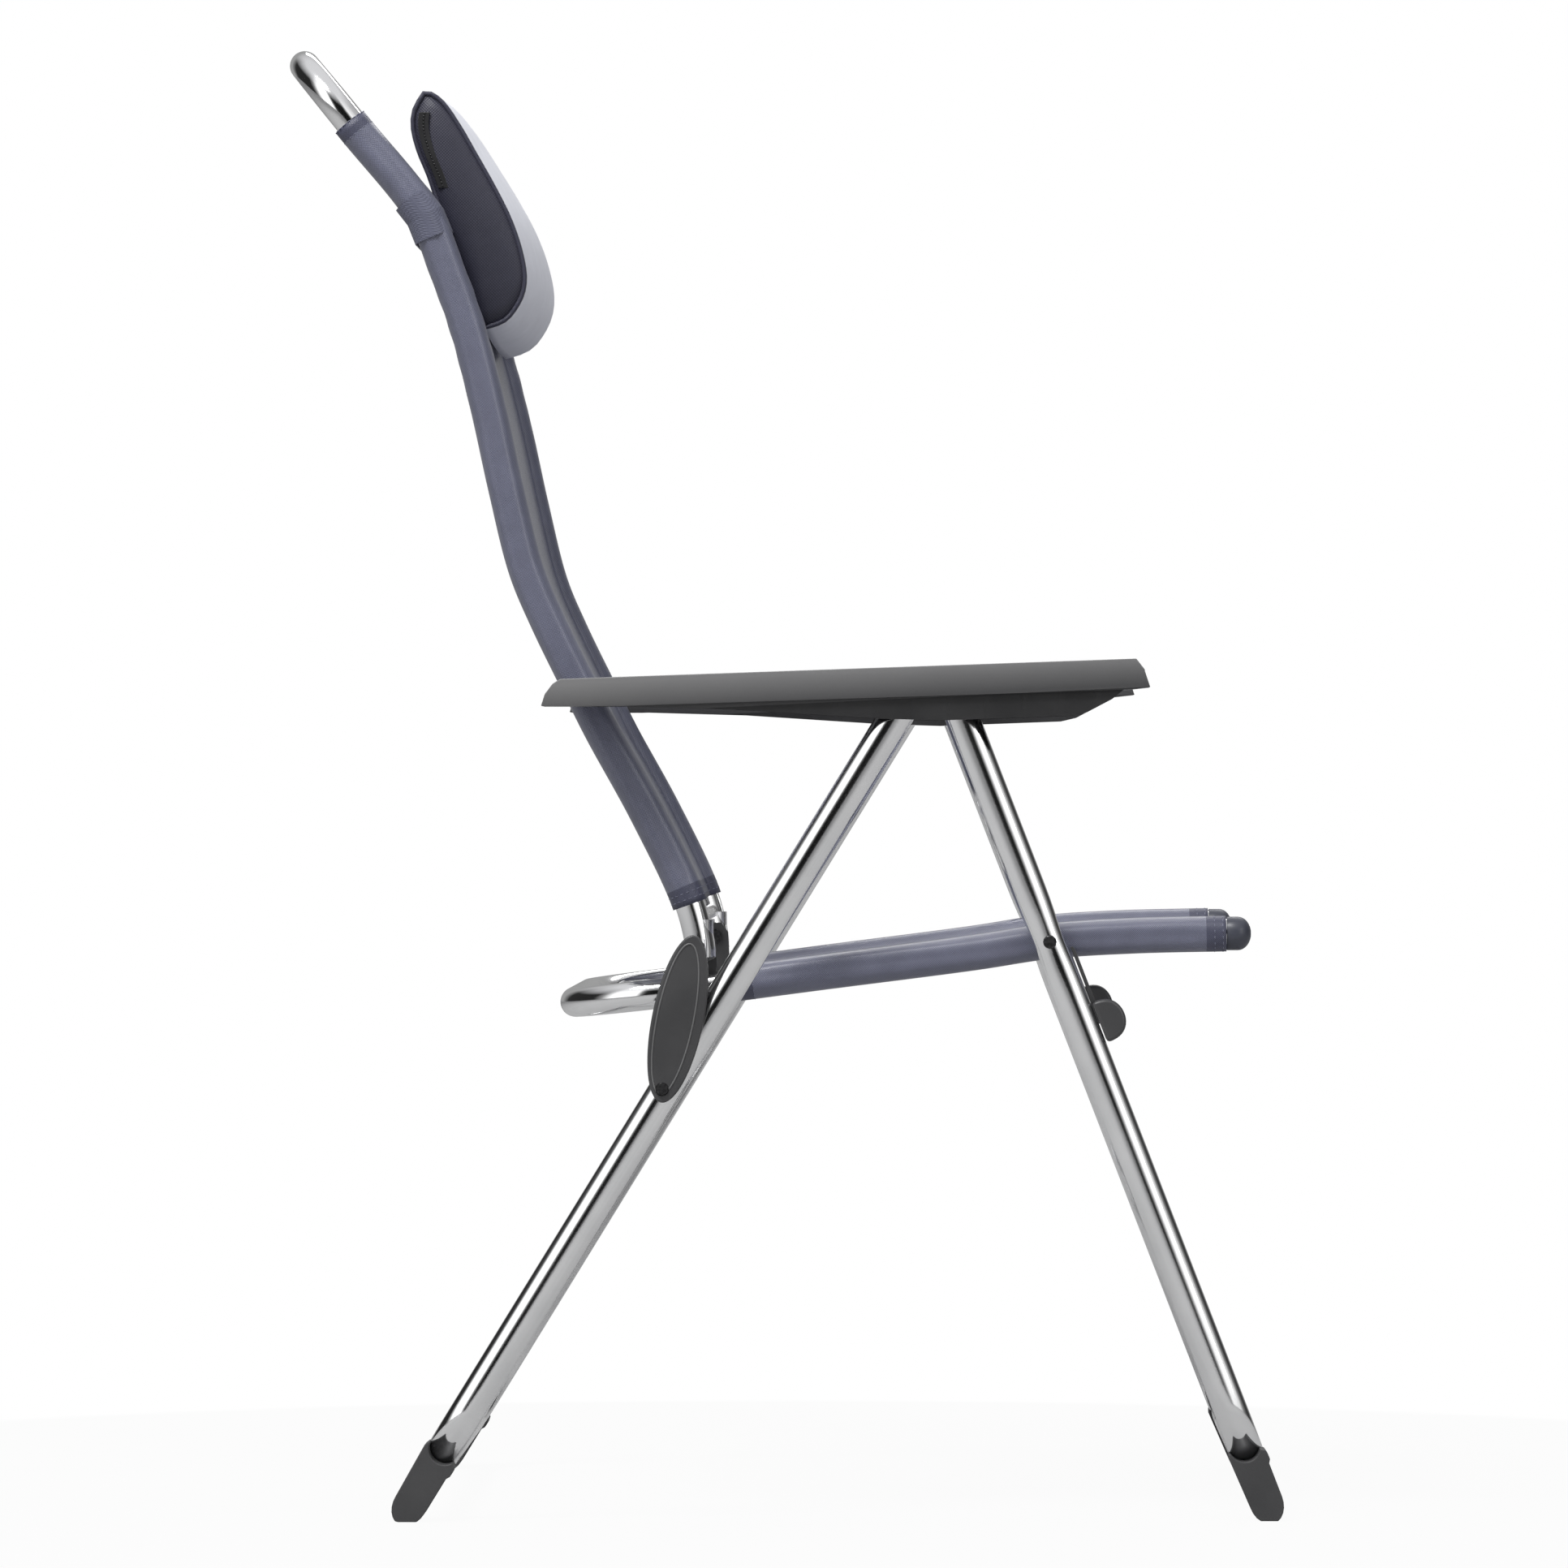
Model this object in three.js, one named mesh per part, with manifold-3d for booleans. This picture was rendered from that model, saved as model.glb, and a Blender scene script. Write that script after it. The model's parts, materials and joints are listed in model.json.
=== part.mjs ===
// Folding high-back camp chair: aluminium tube frames, ratchet armrests and stretched slings.
// Units are millimetres. The chair faces +X, +Z is up and Y = 0 is the plane of symmetry.
// "left" is the sitter's left, at +Y. Points written [x, z] lie in the side view.
import * as THREE from 'three';
import { mergeVertices } from 'three/addons/utils/BufferGeometryUtils.js';
import Module from 'manifold-3d';

const wasm = await Module();
wasm.setup();

// ---- driving dimensions -------------------------------------------------------------
const GAP = 0.3;              // between pieces that touch
const RUNNING = 0.4;          // radial clearance of a pin in its hole

// Where the layers lie, measured outward from the plane of symmetry.
const RAIL_Y = 232;           // seat rails and backrest stiles
const FRONT_LEG_Y = 262;
const REAR_LEG_Y = 282.5;
const PLATE_Y = [293, 297];   // side link plates
const ARM_Y = [248, 303];     // armrests, inner and outer faces

// Tube sections.
const RAIL_R = 12;
const TUBE_WALL = 1.6;
const OUTER_SIDES = 12;       // facets round a tube, and round its bore
const BORE_SIDES = 8;
const LEG_HALF = [9, 13.5];   // oval leg tube: half width across the chair, half depth along it
const CROSS_R = 7;

// Pivots.
const FRONT_TOP = [140.2, 640.8];
const REAR_TOP = [91.2, 640.8];
const LATCH = [116, 656.5];
const SEAT_PIVOT = [211.3, 458.8];
const LINK_SEAT = [-69.8, 420.9];
const LINK_LEG = [-95.4, 342.8];
const BACK_PIVOT = [-67, 455];
const ARM_PIVOT = [-161.4, 658.6];

// Lower cross bars of the two leg frames, and where each foot meets the floor.
const FRONT_BAR = [370, 47.5];
const REAR_BAR = [-274.5, 47];
const LEG_BEND = 48;
const LEG_TOP_REACH = 9;      // tube beyond its top pin

// Seat rails and backrest stiles in the side view, from the rear and from the bottom.
const SEAT_LINE = [[-169.4, 408.8], [-119.5, 414.3], [22.3, 433], [151.2, 449.7],
  [211.3, 458.8], [275, 463], [356, 465]];
const SEAT_BEND = 70;
const BACK_LINE = [[-66.6, 446], [-67, 455], [-75.6, 489.7], [-109.8, 561.9], [-145.2, 626.3],
  [-161.4, 658.6], [-189, 715], [-205.8, 755.2], [-221.9, 819.7], [-236.1, 884.1],
  [-252.9, 948.6], [-269, 993.7], [-287, 1037.5], [-343.7, 1108.4], [-386.3, 1161.3]];
const BACK_BEND = 55;
const SEAT_SAMPLES = 10;      // stations along each line
const BACK_SAMPLES = 15;

// Slings.
const SLING_T = 1.8;
const SLEEVE_T = 1.2;
const SLEEVE_GAP = 1.0;       // round the tube, so that flat facets never meet
const SEAT_SLING_X = [-39, 345];
const BACK_SLING_Z = [488, 1112];
const SHEET_RISE = 4;         // the sheet lies this far in front of the tube centres

// ---- materials ----------------------------------------------------------------------
const FINISHES = {
  aluminium: { color: 0xc9ccd0, roughness: 0.22, metalness: 1 },
  steel: { color: 0x8d9094, roughness: 0.35, metalness: 1 },
  plastic: { color: 0x4a4b4d, roughness: 0.55, metalness: 0 },
  rubber: { color: 0x3a3b3d, roughness: 0.7, metalness: 0 },
  sling: { color: 0x6d7090, roughness: 0.75, metalness: 0 },
  pillow: { color: 0x8f92ab, roughness: 0.8, metalness: 0 },
};

// ---- solids -------------------------------------------------------------------------
function weld(geometry) {
  const bare = geometry.clone();
  bare.deleteAttribute('normal');
  bare.deleteAttribute('uv');
  return mergeVertices(bare, 1e-4);
}

function toManifold(geometry) {
  const welded = weld(geometry);
  return new wasm.Manifold(new wasm.Mesh({
    numProp: 3,
    vertProperties: new Float32Array(welded.attributes.position.array),
    triVerts: new Uint32Array(welded.index.array),
  }));
}

function fromManifold(solid) {
  const mesh = solid.getMesh();
  const geometry = new THREE.BufferGeometry();
  geometry.setAttribute('position', new THREE.BufferAttribute(mesh.vertProperties, 3));
  geometry.setIndex(new THREE.BufferAttribute(mesh.triVerts, 1));
  geometry.computeVertexNormals();
  return geometry;
}

function cut(geometry, ...tools) {
  let solid = toManifold(geometry);
  for (const tool of tools) {
    solid = solid.subtract(toManifold(tool));
  }
  return fromManifold(solid);
}

function join(geometry, ...others) {
  let solid = toManifold(geometry);
  for (const other of others) {
    solid = solid.add(toManifold(other));
  }
  return fromManifold(solid);
}

// ---- paths --------------------------------------------------------------------------
// A path that an extrusion follows station by station, so a straight run takes one step.
class StationPath extends THREE.Curve {
  constructor(stations) {
    super();
    this.stations = stations;
  }

  getPoint(t, target = new THREE.Vector3()) {
    const last = this.stations.length - 1;
    const at = Math.min(t * last, last - 1e-9);
    const i = Math.floor(at);
    return target.lerpVectors(this.stations[i], this.stations[i + 1], at - i);
  }

  getPointAt(u, target) {
    return this.getPoint(u, target);
  }

  getTangentAt(u, target = new THREE.Vector3()) {
    const last = this.stations.length - 1;
    const i = Math.round(u * last);
    const at = this.stations[i];
    const before = this.stations[Math.max(i - 1, 0)];
    const after = this.stations[Math.min(i + 1, last)];
    const into = at.clone().sub(before).normalize();
    const out = after.clone().sub(at).normalize();
    return target.copy(into).add(out).normalize();
  }
}

const sidePoint = ([x, z], y) => new THREE.Vector3(x, y, z);

// The arc that rounds a corner, as stations from one straight run to the next.
function roundCorner(from, corner, to, radius, steps = 5) {
  const a = from.clone().sub(corner).normalize();
  const b = to.clone().sub(corner).normalize();
  const half = a.angleTo(b) / 2;
  const centre = a.clone().add(b).setLength(radius / Math.sin(half)).add(corner);
  const reach = radius / Math.tan(half);
  const start = corner.clone().addScaledVector(a, reach).sub(centre);
  const axis = new THREE.Vector3().crossVectors(b, a).normalize();
  const stations = [];
  for (let i = 0; i <= steps; i += 1) {
    const turn = (i / steps) * (Math.PI - 2 * half);
    stations.push(start.clone().applyAxisAngle(axis, turn).add(centre));
  }
  return stations;
}

// A smooth side-view curve through a line's points, as [x, z] samples.
function smoothLine(points, samples) {
  const curve = new THREE.CatmullRomCurve3(points.map((p) => sidePoint(p, 0)), false, 'centripetal');
  return curve.getSpacedPoints(samples).map((p) => [p.x, p.z]);
}

// The stretch of a line between two values of one coordinate, with ends worked out on it.
function stretch(line, axis, low, high) {
  const cutAt = (value) => {
    const i = line.findIndex((p, k) => k > 0 && (line[k - 1][axis] - value) * (p[axis] - value) <= 0);
    const share = (value - line[i - 1][axis]) / (line[i][axis] - line[i - 1][axis]);
    return line[i].map((v, k) => line[i - 1][k] + share * (v - line[i - 1][k]));
  };
  return [cutAt(low), ...line.filter((p) => p[axis] > low && p[axis] < high), cutAt(high)];
}

function ovalPoints(halfX, halfY, sides) {
  return Array.from({ length: sides }, (_, i) => {
    const turn = (i / sides) * 2 * Math.PI;
    return new THREE.Vector2(halfX * Math.cos(turn), halfY * Math.sin(turn));
  });
}

// An oval ring, or a full oval where the bore is left out.
function ovalShape(outer, bore) {
  const shape = new THREE.Shape(ovalPoints(outer[0], outer[1], OUTER_SIDES));
  if (bore) {
    shape.holes.push(new THREE.Path(ovalPoints(bore[0], bore[1], BORE_SIDES)));
  }
  return shape;
}

function sweep(shape, stations) {
  return new THREE.ExtrudeGeometry(shape, {
    steps: stations.length - 1,
    curveSegments: OUTER_SIDES / 2,
    extrudePath: new StationPath(stations),
  });
}

// A hollow tube, open at both ends.
function tube(halfX, halfY, stations) {
  return sweep(ovalShape([halfX, halfY], [halfX - TUBE_WALL, halfY - TUBE_WALL]), stations);
}

// ---- pieces that lie across the chair -----------------------------------------------
// An outline of [x, z] points made solid between two distances from the plane of symmetry.
function sideSlab(shape, inner, outer, side) {
  const geometry = new THREE.ExtrudeGeometry(shape, {
    depth: outer - inner,
    bevelEnabled: false,
    curveSegments: 8,
  });
  geometry.rotateX(Math.PI / 2);
  geometry.translate(0, side > 0 ? outer : -inner, 0);
  return geometry;
}

function outline(points) {
  return new THREE.Shape(points.map(([x, z]) => new THREE.Vector2(x, z)));
}

// A turned piece on a cross axis. Its profile is [radius, distance from the middle plane].
function turned([x, z], profile, side, sides = 12) {
  const points = profile.map(([r, y]) => new THREE.Vector2(r, y));
  const geometry = new THREE.LatheGeometry(points, sides);
  if (side < 0) {
    geometry.rotateX(Math.PI);
  }
  geometry.translate(x, 0, z);
  return geometry;
}

function pin(at, radius, inner, outer, side) {
  return turned(at, [[0, inner], [radius, inner], [radius, outer], [0, outer]], side);
}

function washer(at, bore, radius, inner, outer, side) {
  const ring = [[bore, inner], [radius, inner], [radius, outer], [bore, outer], [bore, inner]];
  return turned(at, ring, side);
}

// A pin with a larger domed head on its outer end.
function headedPin(at, radius, inner, outer, headRadius, headHeight, side) {
  return turned(at, [[0, inner], [radius, inner], [radius, outer], [headRadius, outer],
    [headRadius * 0.8, outer + headHeight], [0, outer + headHeight]], side);
}

// ---- frames -------------------------------------------------------------------------
// A leg frame: two legs joined by a bent-in cross bar at the floor.
function legStations(top, bar, halfWidth) {
  const reach = new THREE.Vector2(top[0] - bar[0], top[1] - bar[1]).setLength(LEG_TOP_REACH);
  const end = [top[0] + reach.x, top[1] + reach.y];
  const corners = [-1, 1].map((side) => sidePoint(bar, side * halfWidth));
  const ends = [-1, 1].map((side) => sidePoint(end, side * halfWidth));
  return [
    ends[0],
    ...roundCorner(ends[0], corners[0], corners[1], LEG_BEND),
    ...roundCorner(corners[0], corners[1], ends[1], LEG_BEND),
    ends[1],
  ];
}

function legFrame(top, bar, halfWidth, holes) {
  const body = tube(LEG_HALF[0], LEG_HALF[1], legStations(top, bar, halfWidth));
  const tools = holes.flatMap(([at, radius]) => [-1, 1].map(
    (side) => pin(at, radius + RUNNING, halfWidth - 12, halfWidth + 12, side),
  ));
  return cut(body, ...tools);
}

function seatTube() {
  const line = smoothLine(SEAT_LINE, SEAT_SAMPLES);
  const rail = (side) => line.slice(2).map((p) => sidePoint(p, side * RAIL_Y));
  const corners = [-1, 1].map((side) => sidePoint(SEAT_LINE[0], side * RAIL_Y));
  const right = rail(-1);
  const left = rail(1);
  const stations = [
    ...right.slice().reverse(),
    ...roundCorner(right[0], corners[0], corners[1], SEAT_BEND),
    ...roundCorner(corners[0], corners[1], left[0], SEAT_BEND),
    ...left,
  ];
  const holes = [-1, 1].flatMap((side) => [
    pin(SEAT_PIVOT, 4 + RUNNING, RAIL_Y - 16, RAIL_Y + 16, side),
    pin(LINK_SEAT, 5 + RUNNING, RAIL_Y - 16, RAIL_Y + 16, side),
  ]);
  return cut(tube(RAIL_R, RAIL_R, stations), ...holes);
}

function backTube() {
  const line = smoothLine(BACK_LINE, BACK_SAMPLES);
  const stile = (side) => line.slice(0, -2).map((p) => sidePoint(p, side * RAIL_Y));
  const corners = [-1, 1].map((side) => sidePoint(BACK_LINE.at(-1), side * RAIL_Y));
  const right = stile(-1);
  const left = stile(1);
  const stations = [
    ...right,
    ...roundCorner(right.at(-1), corners[0], corners[1], BACK_BEND),
    ...roundCorner(corners[0], corners[1], left.at(-1), BACK_BEND),
    ...left.slice().reverse(),
  ];
  const holes = [-1, 1].flatMap((side) => [
    pin(BACK_PIVOT, 4 + RUNNING, RAIL_Y - 16, RAIL_Y + 16, side),
    pin(ARM_PIVOT, 4 + RUNNING, RAIL_Y + 6, RAIL_Y + 16, side),
  ]);
  return cut(tube(RAIL_R, RAIL_R, stations), ...holes);
}

// The bar that keeps the two stiles apart below the sling, coped at both ends.
function backCrossTube() {
  const at = [-71, 476];
  const reach = RAIL_Y - RAIL_R - GAP;
  return tube(CROSS_R, CROSS_R, [sidePoint(at, -reach), sidePoint(at, reach)]);
}

// A plug pressed into an open tube end: a spigot inside the bore and a domed cap outside.
function endCap(end, inward, depth, dome, side) {
  const spigot = RAIL_R - TUBE_WALL - 3 * GAP;
  const profile = [[0, -depth], [spigot, -depth], [spigot, GAP], [RAIL_R, GAP], [RAIL_R, 2.5],
    [RAIL_R * 0.8, dome * 0.7], [RAIL_R * 0.4, dome * 0.95], [0, dome]];
  const points = profile.map(([r, y]) => new THREE.Vector2(r, y));
  const geometry = new THREE.LatheGeometry(points, 14);
  const outward = sidePoint(end, 0).sub(sidePoint(inward, 0)).normalize();
  geometry.applyQuaternion(new THREE.Quaternion().setFromUnitVectors(new THREE.Vector3(0, 1, 0), outward));
  geometry.translate(end[0], side * RAIL_Y, end[1]);
  return geometry;
}

function seatEndCap(side) {
  const line = smoothLine(SEAT_LINE, SEAT_SAMPLES);
  return endCap(line.at(-1), line.at(-2), 16, 9, side);
}

function backEndCap(side) {
  const line = smoothLine(BACK_LINE, BACK_SAMPLES);
  return endCap(line[0], line[1], 3.5, 5, side);
}

// ---- feet and bumpers ---------------------------------------------------------------
// A boot on the outer corner of a leg frame, rounded at the toe and flat on the floor.
function foot(top, bar, halfWidth, side) {
  const down = sidePoint(bar, 0).sub(sidePoint(top, 0)).normalize();
  const length = bar[1] / -down.z;
  const profile = [[0, -26], [15.6, -26], [15.6, length - 14], [13.6, length - 6], [9.6, length], [0, length + 3]];
  const geometry = new THREE.LatheGeometry(profile.map(([r, y]) => new THREE.Vector2(r, y)), 20);
  geometry.scale(1, 1, (LEG_HALF[0] + 0.8) / 15.6);
  const across = new THREE.Vector3(0, 1, 0);
  geometry.applyMatrix4(new THREE.Matrix4().makeBasis(down.clone().cross(across), down, across));
  geometry.translate(bar[0], side * (halfWidth - 0.4), bar[1]);
  const grown = sweep(ovalShape([LEG_HALF[0] + GAP, LEG_HALF[1] + GAP]), legStations(top, bar, halfWidth));
  const floor = new THREE.BoxGeometry(200, 700, 40);
  floor.translate(bar[0], 0, -20);
  return cut(geometry, grown, floor);
}

// A D-shaped bumper on the front edge of a front leg, with its strap along the inner face.
function legBumper(side) {
  const down = sidePoint(FRONT_BAR, 0).sub(sidePoint(FRONT_TOP, 0)).normalize();
  const front = new THREE.Vector3(-down.z, 0, down.x);
  const place = (along, ahead) => {
    const p = sidePoint(SEAT_PIVOT, 0).addScaledVector(down, along).addScaledVector(front, ahead);
    return [p.x, p.z];
  };
  const edge = LEG_HALF[1] + GAP;
  const dee = [];
  for (let i = 0; i <= 8; i += 1) {
    const turn = (i / 8) * Math.PI;
    dee.push(place(65 - 18 * Math.cos(turn), edge + 22 * Math.sin(turn)));
  }
  const strap = [place(10, -8), place(10, edge + 3), place(47, edge + 3), place(83, edge), place(83, -8)];
  const faceY = FRONT_LEG_Y - LEG_HALF[0] - GAP;
  const knob = sideSlab(outline(dee), faceY - 2.5, FRONT_LEG_Y + 7, side);
  return join(knob, sideSlab(outline(strap), faceY - 2.5, faceY, side));
}

// ---- links and brackets -------------------------------------------------------------
// An upright oval plate that joins the rear leg to the seat rail.
function linkPlate(side) {
  const centre = new THREE.Vector2(-79.2, 384.5);
  const shape = new THREE.Shape();
  shape.absellipse(centre.x, centre.y, 20.5, 67, 0, 2 * Math.PI, false, -0.2);
  const face = new THREE.Shape();
  face.absellipse(centre.x - 2, centre.y, 15.5, 61, 0, 2 * Math.PI, false, -0.2);
  const plate = join(
    sideSlab(shape, PLATE_Y[0], PLATE_Y[1] - 1, side),
    sideSlab(face, PLATE_Y[1] - 2, PLATE_Y[1] + 1, side),
  );
  return cut(
    plate,
    pin(LINK_SEAT, 5 + RUNNING, 280, 310, side),
    pin(LINK_LEG, 3 + GAP, 280, 310, side),
  );
}

// Pan-headed screw through the lower end of the link plate.
const linkFootScrew = (side) => headedPin(LINK_LEG, 3, PLATE_Y[0] - 0.8, PLATE_Y[1] + 1 + GAP, 5.5, 1.8, side);

const linkBolt = (side) => turned(LINK_SEAT, [[0, 207.4], [7.5, 207.4], [7.5, 211.4], [5, 211.4],
  [5, PLATE_Y[1] + 0.4], [0, PLATE_Y[1] + 0.4]], side);

const linkSpacer = (side) => washer(LINK_SEAT, 5 + GAP, 6.6, RAIL_Y + RAIL_R + GAP, 251.8, side);

// The plate on the inside of each rail that carries the backrest hinge.
function backBracket(side) {
  const points = [[-82, 411], [-57, 411], [-54, 440], [-55, 459], [-61, 467], [-73, 467], [-80, 459], [-82, 440]];
  return cut(
    sideSlab(outline(points), 212, 217.5, side),
    pin(LINK_SEAT, 5 + RUNNING, 200, 230, side),
    pin(BACK_PIVOT, 4 + RUNNING, 200, 230, side),
  );
}

const backPivotBolt = (side) => turned(BACK_PIVOT, [[0, 207], [7, 207], [7, 211.6], [4, 211.6],
  [4, 247], [0, 247]], side);

const seatPivotBolt = (side) => headedPin(SEAT_PIVOT, 4, 223, FRONT_LEG_Y + LEG_HALF[0] + GAP, 5.5, 1.3, side);

const seatPivotSpacer = (side) => washer(
  SEAT_PIVOT, 4 + GAP, 7, RAIL_Y + RAIL_R + SLEEVE_GAP + SLEEVE_T + GAP, FRONT_LEG_Y - LEG_HALF[0] - GAP, side,
);

// The small steel link that carries both leg tops and the latch pin.
function hingeLink(side) {
  const points = [[78, 632], [86, 629], [145, 629], [153, 635], [152, 650], [127, 661.5], [105, 661.5], [80, 650]];
  const hole = (at, radius) => pin(at, radius + RUNNING, 260, 285, side);
  return cut(
    sideSlab(outline(points), 271.5, 273, side),
    hole(FRONT_TOP, 4),
    hole(REAR_TOP, 4),
    hole(LATCH, 3.5),
  );
}

const frontTopPin = (side) => pin(FRONT_TOP, 4, 252.2, 273.1, side);
const rearTopPin = (side) => pin(REAR_TOP, 4, 271.4, 292.6, side);
const latchPin = (side) => pin(LATCH, 3.5, 258, 288, side);

// ---- armrests -----------------------------------------------------------------------
const ARM_TOP = [[-176, 667], [279, 683]];

// The top shell, its lip and a deeper skirt, hollow underneath for the leg tops.
function armrest(side) {
  const shell = outline([[-191, 645.5], [-188, 655], [-182, 663], ARM_TOP[0], ARM_TOP[1], [286, 674],
    [290, 660.5], [272, 658.5], [60, 651], [-131, 645.5]]);
  const skirt = outline([[-160, 650], [-131, 645.8], [-41, 643.2], [23, 639.3], [77, 635.6], [125, 634.2],
    [177, 636], [228, 638], [241, 641], [260, 651], [276, 664], [60, 670]]);
  const hollow = outline([[-152, 630], [-152, 659], [-60, 667], [262, 676.5], [268, 668], [252, 651],
    [238, 644], [238, 630]]);
  const outer = ARM_Y[1];
  const body = join(
    sideSlab(shell, ARM_Y[0], outer, side),
    sideSlab(skirt, ARM_Y[0], outer - 3.5, side),
  );
  const cavity = sideSlab(hollow, ARM_Y[0] + 3, outer - 6.5, side);
  return cut(body, cavity, pin(ARM_PIVOT, 4 + RUNNING, 240, 256, side));
}

// The toothed rack under the top shell. Its notches open downward onto the latch pin.
const RACK_Y = [262, 284];
const NOTCH_PITCH = 13.1;
const NOTCHES = 7;

function ratchetRack(side) {
  const rise = (ARM_TOP[1][1] - ARM_TOP[0][1]) / (ARM_TOP[1][0] - ARM_TOP[0][0]);
  const teeth = [];
  for (let i = 0; i < NOTCHES; i += 1) {
    const x = LATCH[0] + 4 + i * NOTCH_PITCH;
    teeth.push([x, 667], [x + 2, 663], [x + 6, 663], [x + 9, 667]);
  }
  const start = LATCH[0] - 12;
  const end = LATCH[0] + 4 + NOTCHES * NOTCH_PITCH;
  const top = (x) => ARM_TOP[0][1] + (x - ARM_TOP[0][0]) * rise - 7.6;
  return sideSlab(outline([[start, 667], ...teeth, [end, 667], [end, top(end)], [start, top(start)]]),
    RACK_Y[0], RACK_Y[1], side);
}

const armPivotBolt = (side) => turned(ARM_PIVOT, [[0, 237], [4, 237], [4, 254.5], [0, 254.5]], side);

// ---- soft parts ---------------------------------------------------------------------
// A sling: a thin sheet between two sleeves that hug the rails, drawn as one cross-section.
function slingShape() {
  const bore = RAIL_R + SLEEVE_GAP;
  const outer = bore + SLEEVE_T;
  const shape = new THREE.Shape();
  const upper = Math.asin((SLING_T / 2 - SHEET_RISE) / outer);
  const lower = Math.asin((-SLING_T / 2 - SHEET_RISE) / outer);
  shape.absarc(RAIL_Y, 0, outer, Math.PI - lower, Math.PI - upper + 2 * Math.PI, false);
  shape.absarc(-RAIL_Y, 0, outer, upper, lower + 2 * Math.PI, false);
  for (const side of [-1, 1]) {
    const hole = new THREE.Path();
    hole.absarc(side * RAIL_Y, 0, bore, 0, 2 * Math.PI, false);
    shape.holes.push(hole);
  }
  return shape;
}

function sling(line, pivot, holeRadius) {
  const holes = [-1, 1].map((side) => pin(pivot, holeRadius, RAIL_Y + 4, RAIL_Y + 20, side));
  return cut(sweep(slingShape(), line.map((p) => sidePoint(p, 0))), ...holes);
}

function seatSling() {
  const line = stretch(smoothLine(SEAT_LINE, SEAT_SAMPLES), 0, SEAT_SLING_X[0], SEAT_SLING_X[1]);
  return sling(line, SEAT_PIVOT, 4.8);
}

function backSling() {
  const line = stretch(smoothLine(BACK_LINE, BACK_SAMPLES), 1, BACK_SLING_Z[0], BACK_SLING_Z[1]);
  return sling(line, ARM_PIVOT, 4.8);
}

// The head pillow hangs in front of the sling, between the stiles.
const PILLOW_HALF = 205;

function headPillow() {
  const side = new THREE.Shape();
  side.moveTo(-285, 1130);
  side.bezierCurveTo(-298, 1120, -296, 1098, -280, 1070);
  side.bezierCurveTo(-261, 1040, -251, 1020, -244, 990);
  side.lineTo(-233, 940);
  side.bezierCurveTo(-228, 924, -214, 922, -206, 930);
  side.bezierCurveTo(-184, 950, -178, 975, -186, 1000);
  side.bezierCurveTo(-198, 1035, -245, 1100, -285, 1130);
  const geometry = new THREE.ExtrudeGeometry(side, {
    depth: 2 * PILLOW_HALF,
    bevelEnabled: false,
    curveSegments: 6,
  });
  geometry.rotateX(Math.PI / 2);
  geometry.translate(0, PILLOW_HALF, 0);
  return geometry;
}

// An elastic band round the whole backrest, which the pillow is sewn to.
const STRAP_Z = [1020, 1051];
const STRAP_R = [14.6, 15.6];

function stadium(path, radius) {
  path.absarc(RAIL_Y, 0, radius, -Math.PI / 2, Math.PI / 2, false);
  path.absarc(-RAIL_Y, 0, radius, Math.PI / 2, 1.5 * Math.PI, false);
  return path;
}

function pillowStrap() {
  const line = stretch(smoothLine(BACK_LINE, BACK_SAMPLES), 1, STRAP_Z[0], STRAP_Z[1]);
  const band = stadium(new THREE.Shape(), STRAP_R[1]);
  band.holes.push(stadium(new THREE.Path(), STRAP_R[0]));
  return sweep(band, line.map((p) => sidePoint(p, 0)));
}

// ---- assembly -----------------------------------------------------------------------
const chair = new THREE.Group();

function add(name, geometry, finish) {
  const mesh = new THREE.Mesh(geometry, new THREE.MeshStandardMaterial(FINISHES[finish]));
  mesh.name = name;
  chair.add(mesh);
}

add('seat_tube', seatTube(), 'aluminium');
add('back_tube', backTube(), 'aluminium');
add('back_cross_tube', backCrossTube(), 'aluminium');
add('front_leg_tube', legFrame(FRONT_TOP, FRONT_BAR, FRONT_LEG_Y, [[FRONT_TOP, 4], [SEAT_PIVOT, 4]]), 'aluminium');
add('rear_leg_tube', legFrame(REAR_TOP, REAR_BAR, REAR_LEG_Y, [[REAR_TOP, 4]]), 'aluminium');
add('seat_sling', seatSling(), 'sling');
add('back_sling', backSling(), 'sling');
add('head_pillow', headPillow(), 'pillow');
add('pillow_strap', pillowStrap(), 'sling');

const PAIRS = [
  ['seat_end_cap', seatEndCap, 'plastic'],
  ['back_end_cap', backEndCap, 'plastic'],
  ['back_bracket', backBracket, 'plastic'],
  ['back_pivot_bolt', backPivotBolt, 'steel'],
  ['link_bolt', linkBolt, 'steel'],
  ['link_spacer', linkSpacer, 'plastic'],
  ['link_plate', linkPlate, 'plastic'],
  ['link_foot_screw', linkFootScrew, 'steel'],
  ['seat_pivot_bolt', seatPivotBolt, 'steel'],
  ['seat_pivot_spacer', seatPivotSpacer, 'plastic'],
  ['leg_bumper', legBumper, 'plastic'],
  ['front_foot', (side) => foot(FRONT_TOP, FRONT_BAR, FRONT_LEG_Y, side), 'rubber'],
  ['rear_foot', (side) => foot(REAR_TOP, REAR_BAR, REAR_LEG_Y, side), 'rubber'],
  ['hinge_link', hingeLink, 'steel'],
  ['front_top_pin', frontTopPin, 'steel'],
  ['rear_top_pin', rearTopPin, 'steel'],
  ['latch_pin', latchPin, 'steel'],
  ['armrest', armrest, 'plastic'],
  ['ratchet_rack', ratchetRack, 'plastic'],
  ['arm_pivot_bolt', armPivotBolt, 'steel'],
];

for (const [name, build, finish] of PAIRS) {
  add(`${name}_left`, build(1), finish);
  add(`${name}_right`, build(-1), finish);
}

export default chair;
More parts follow.
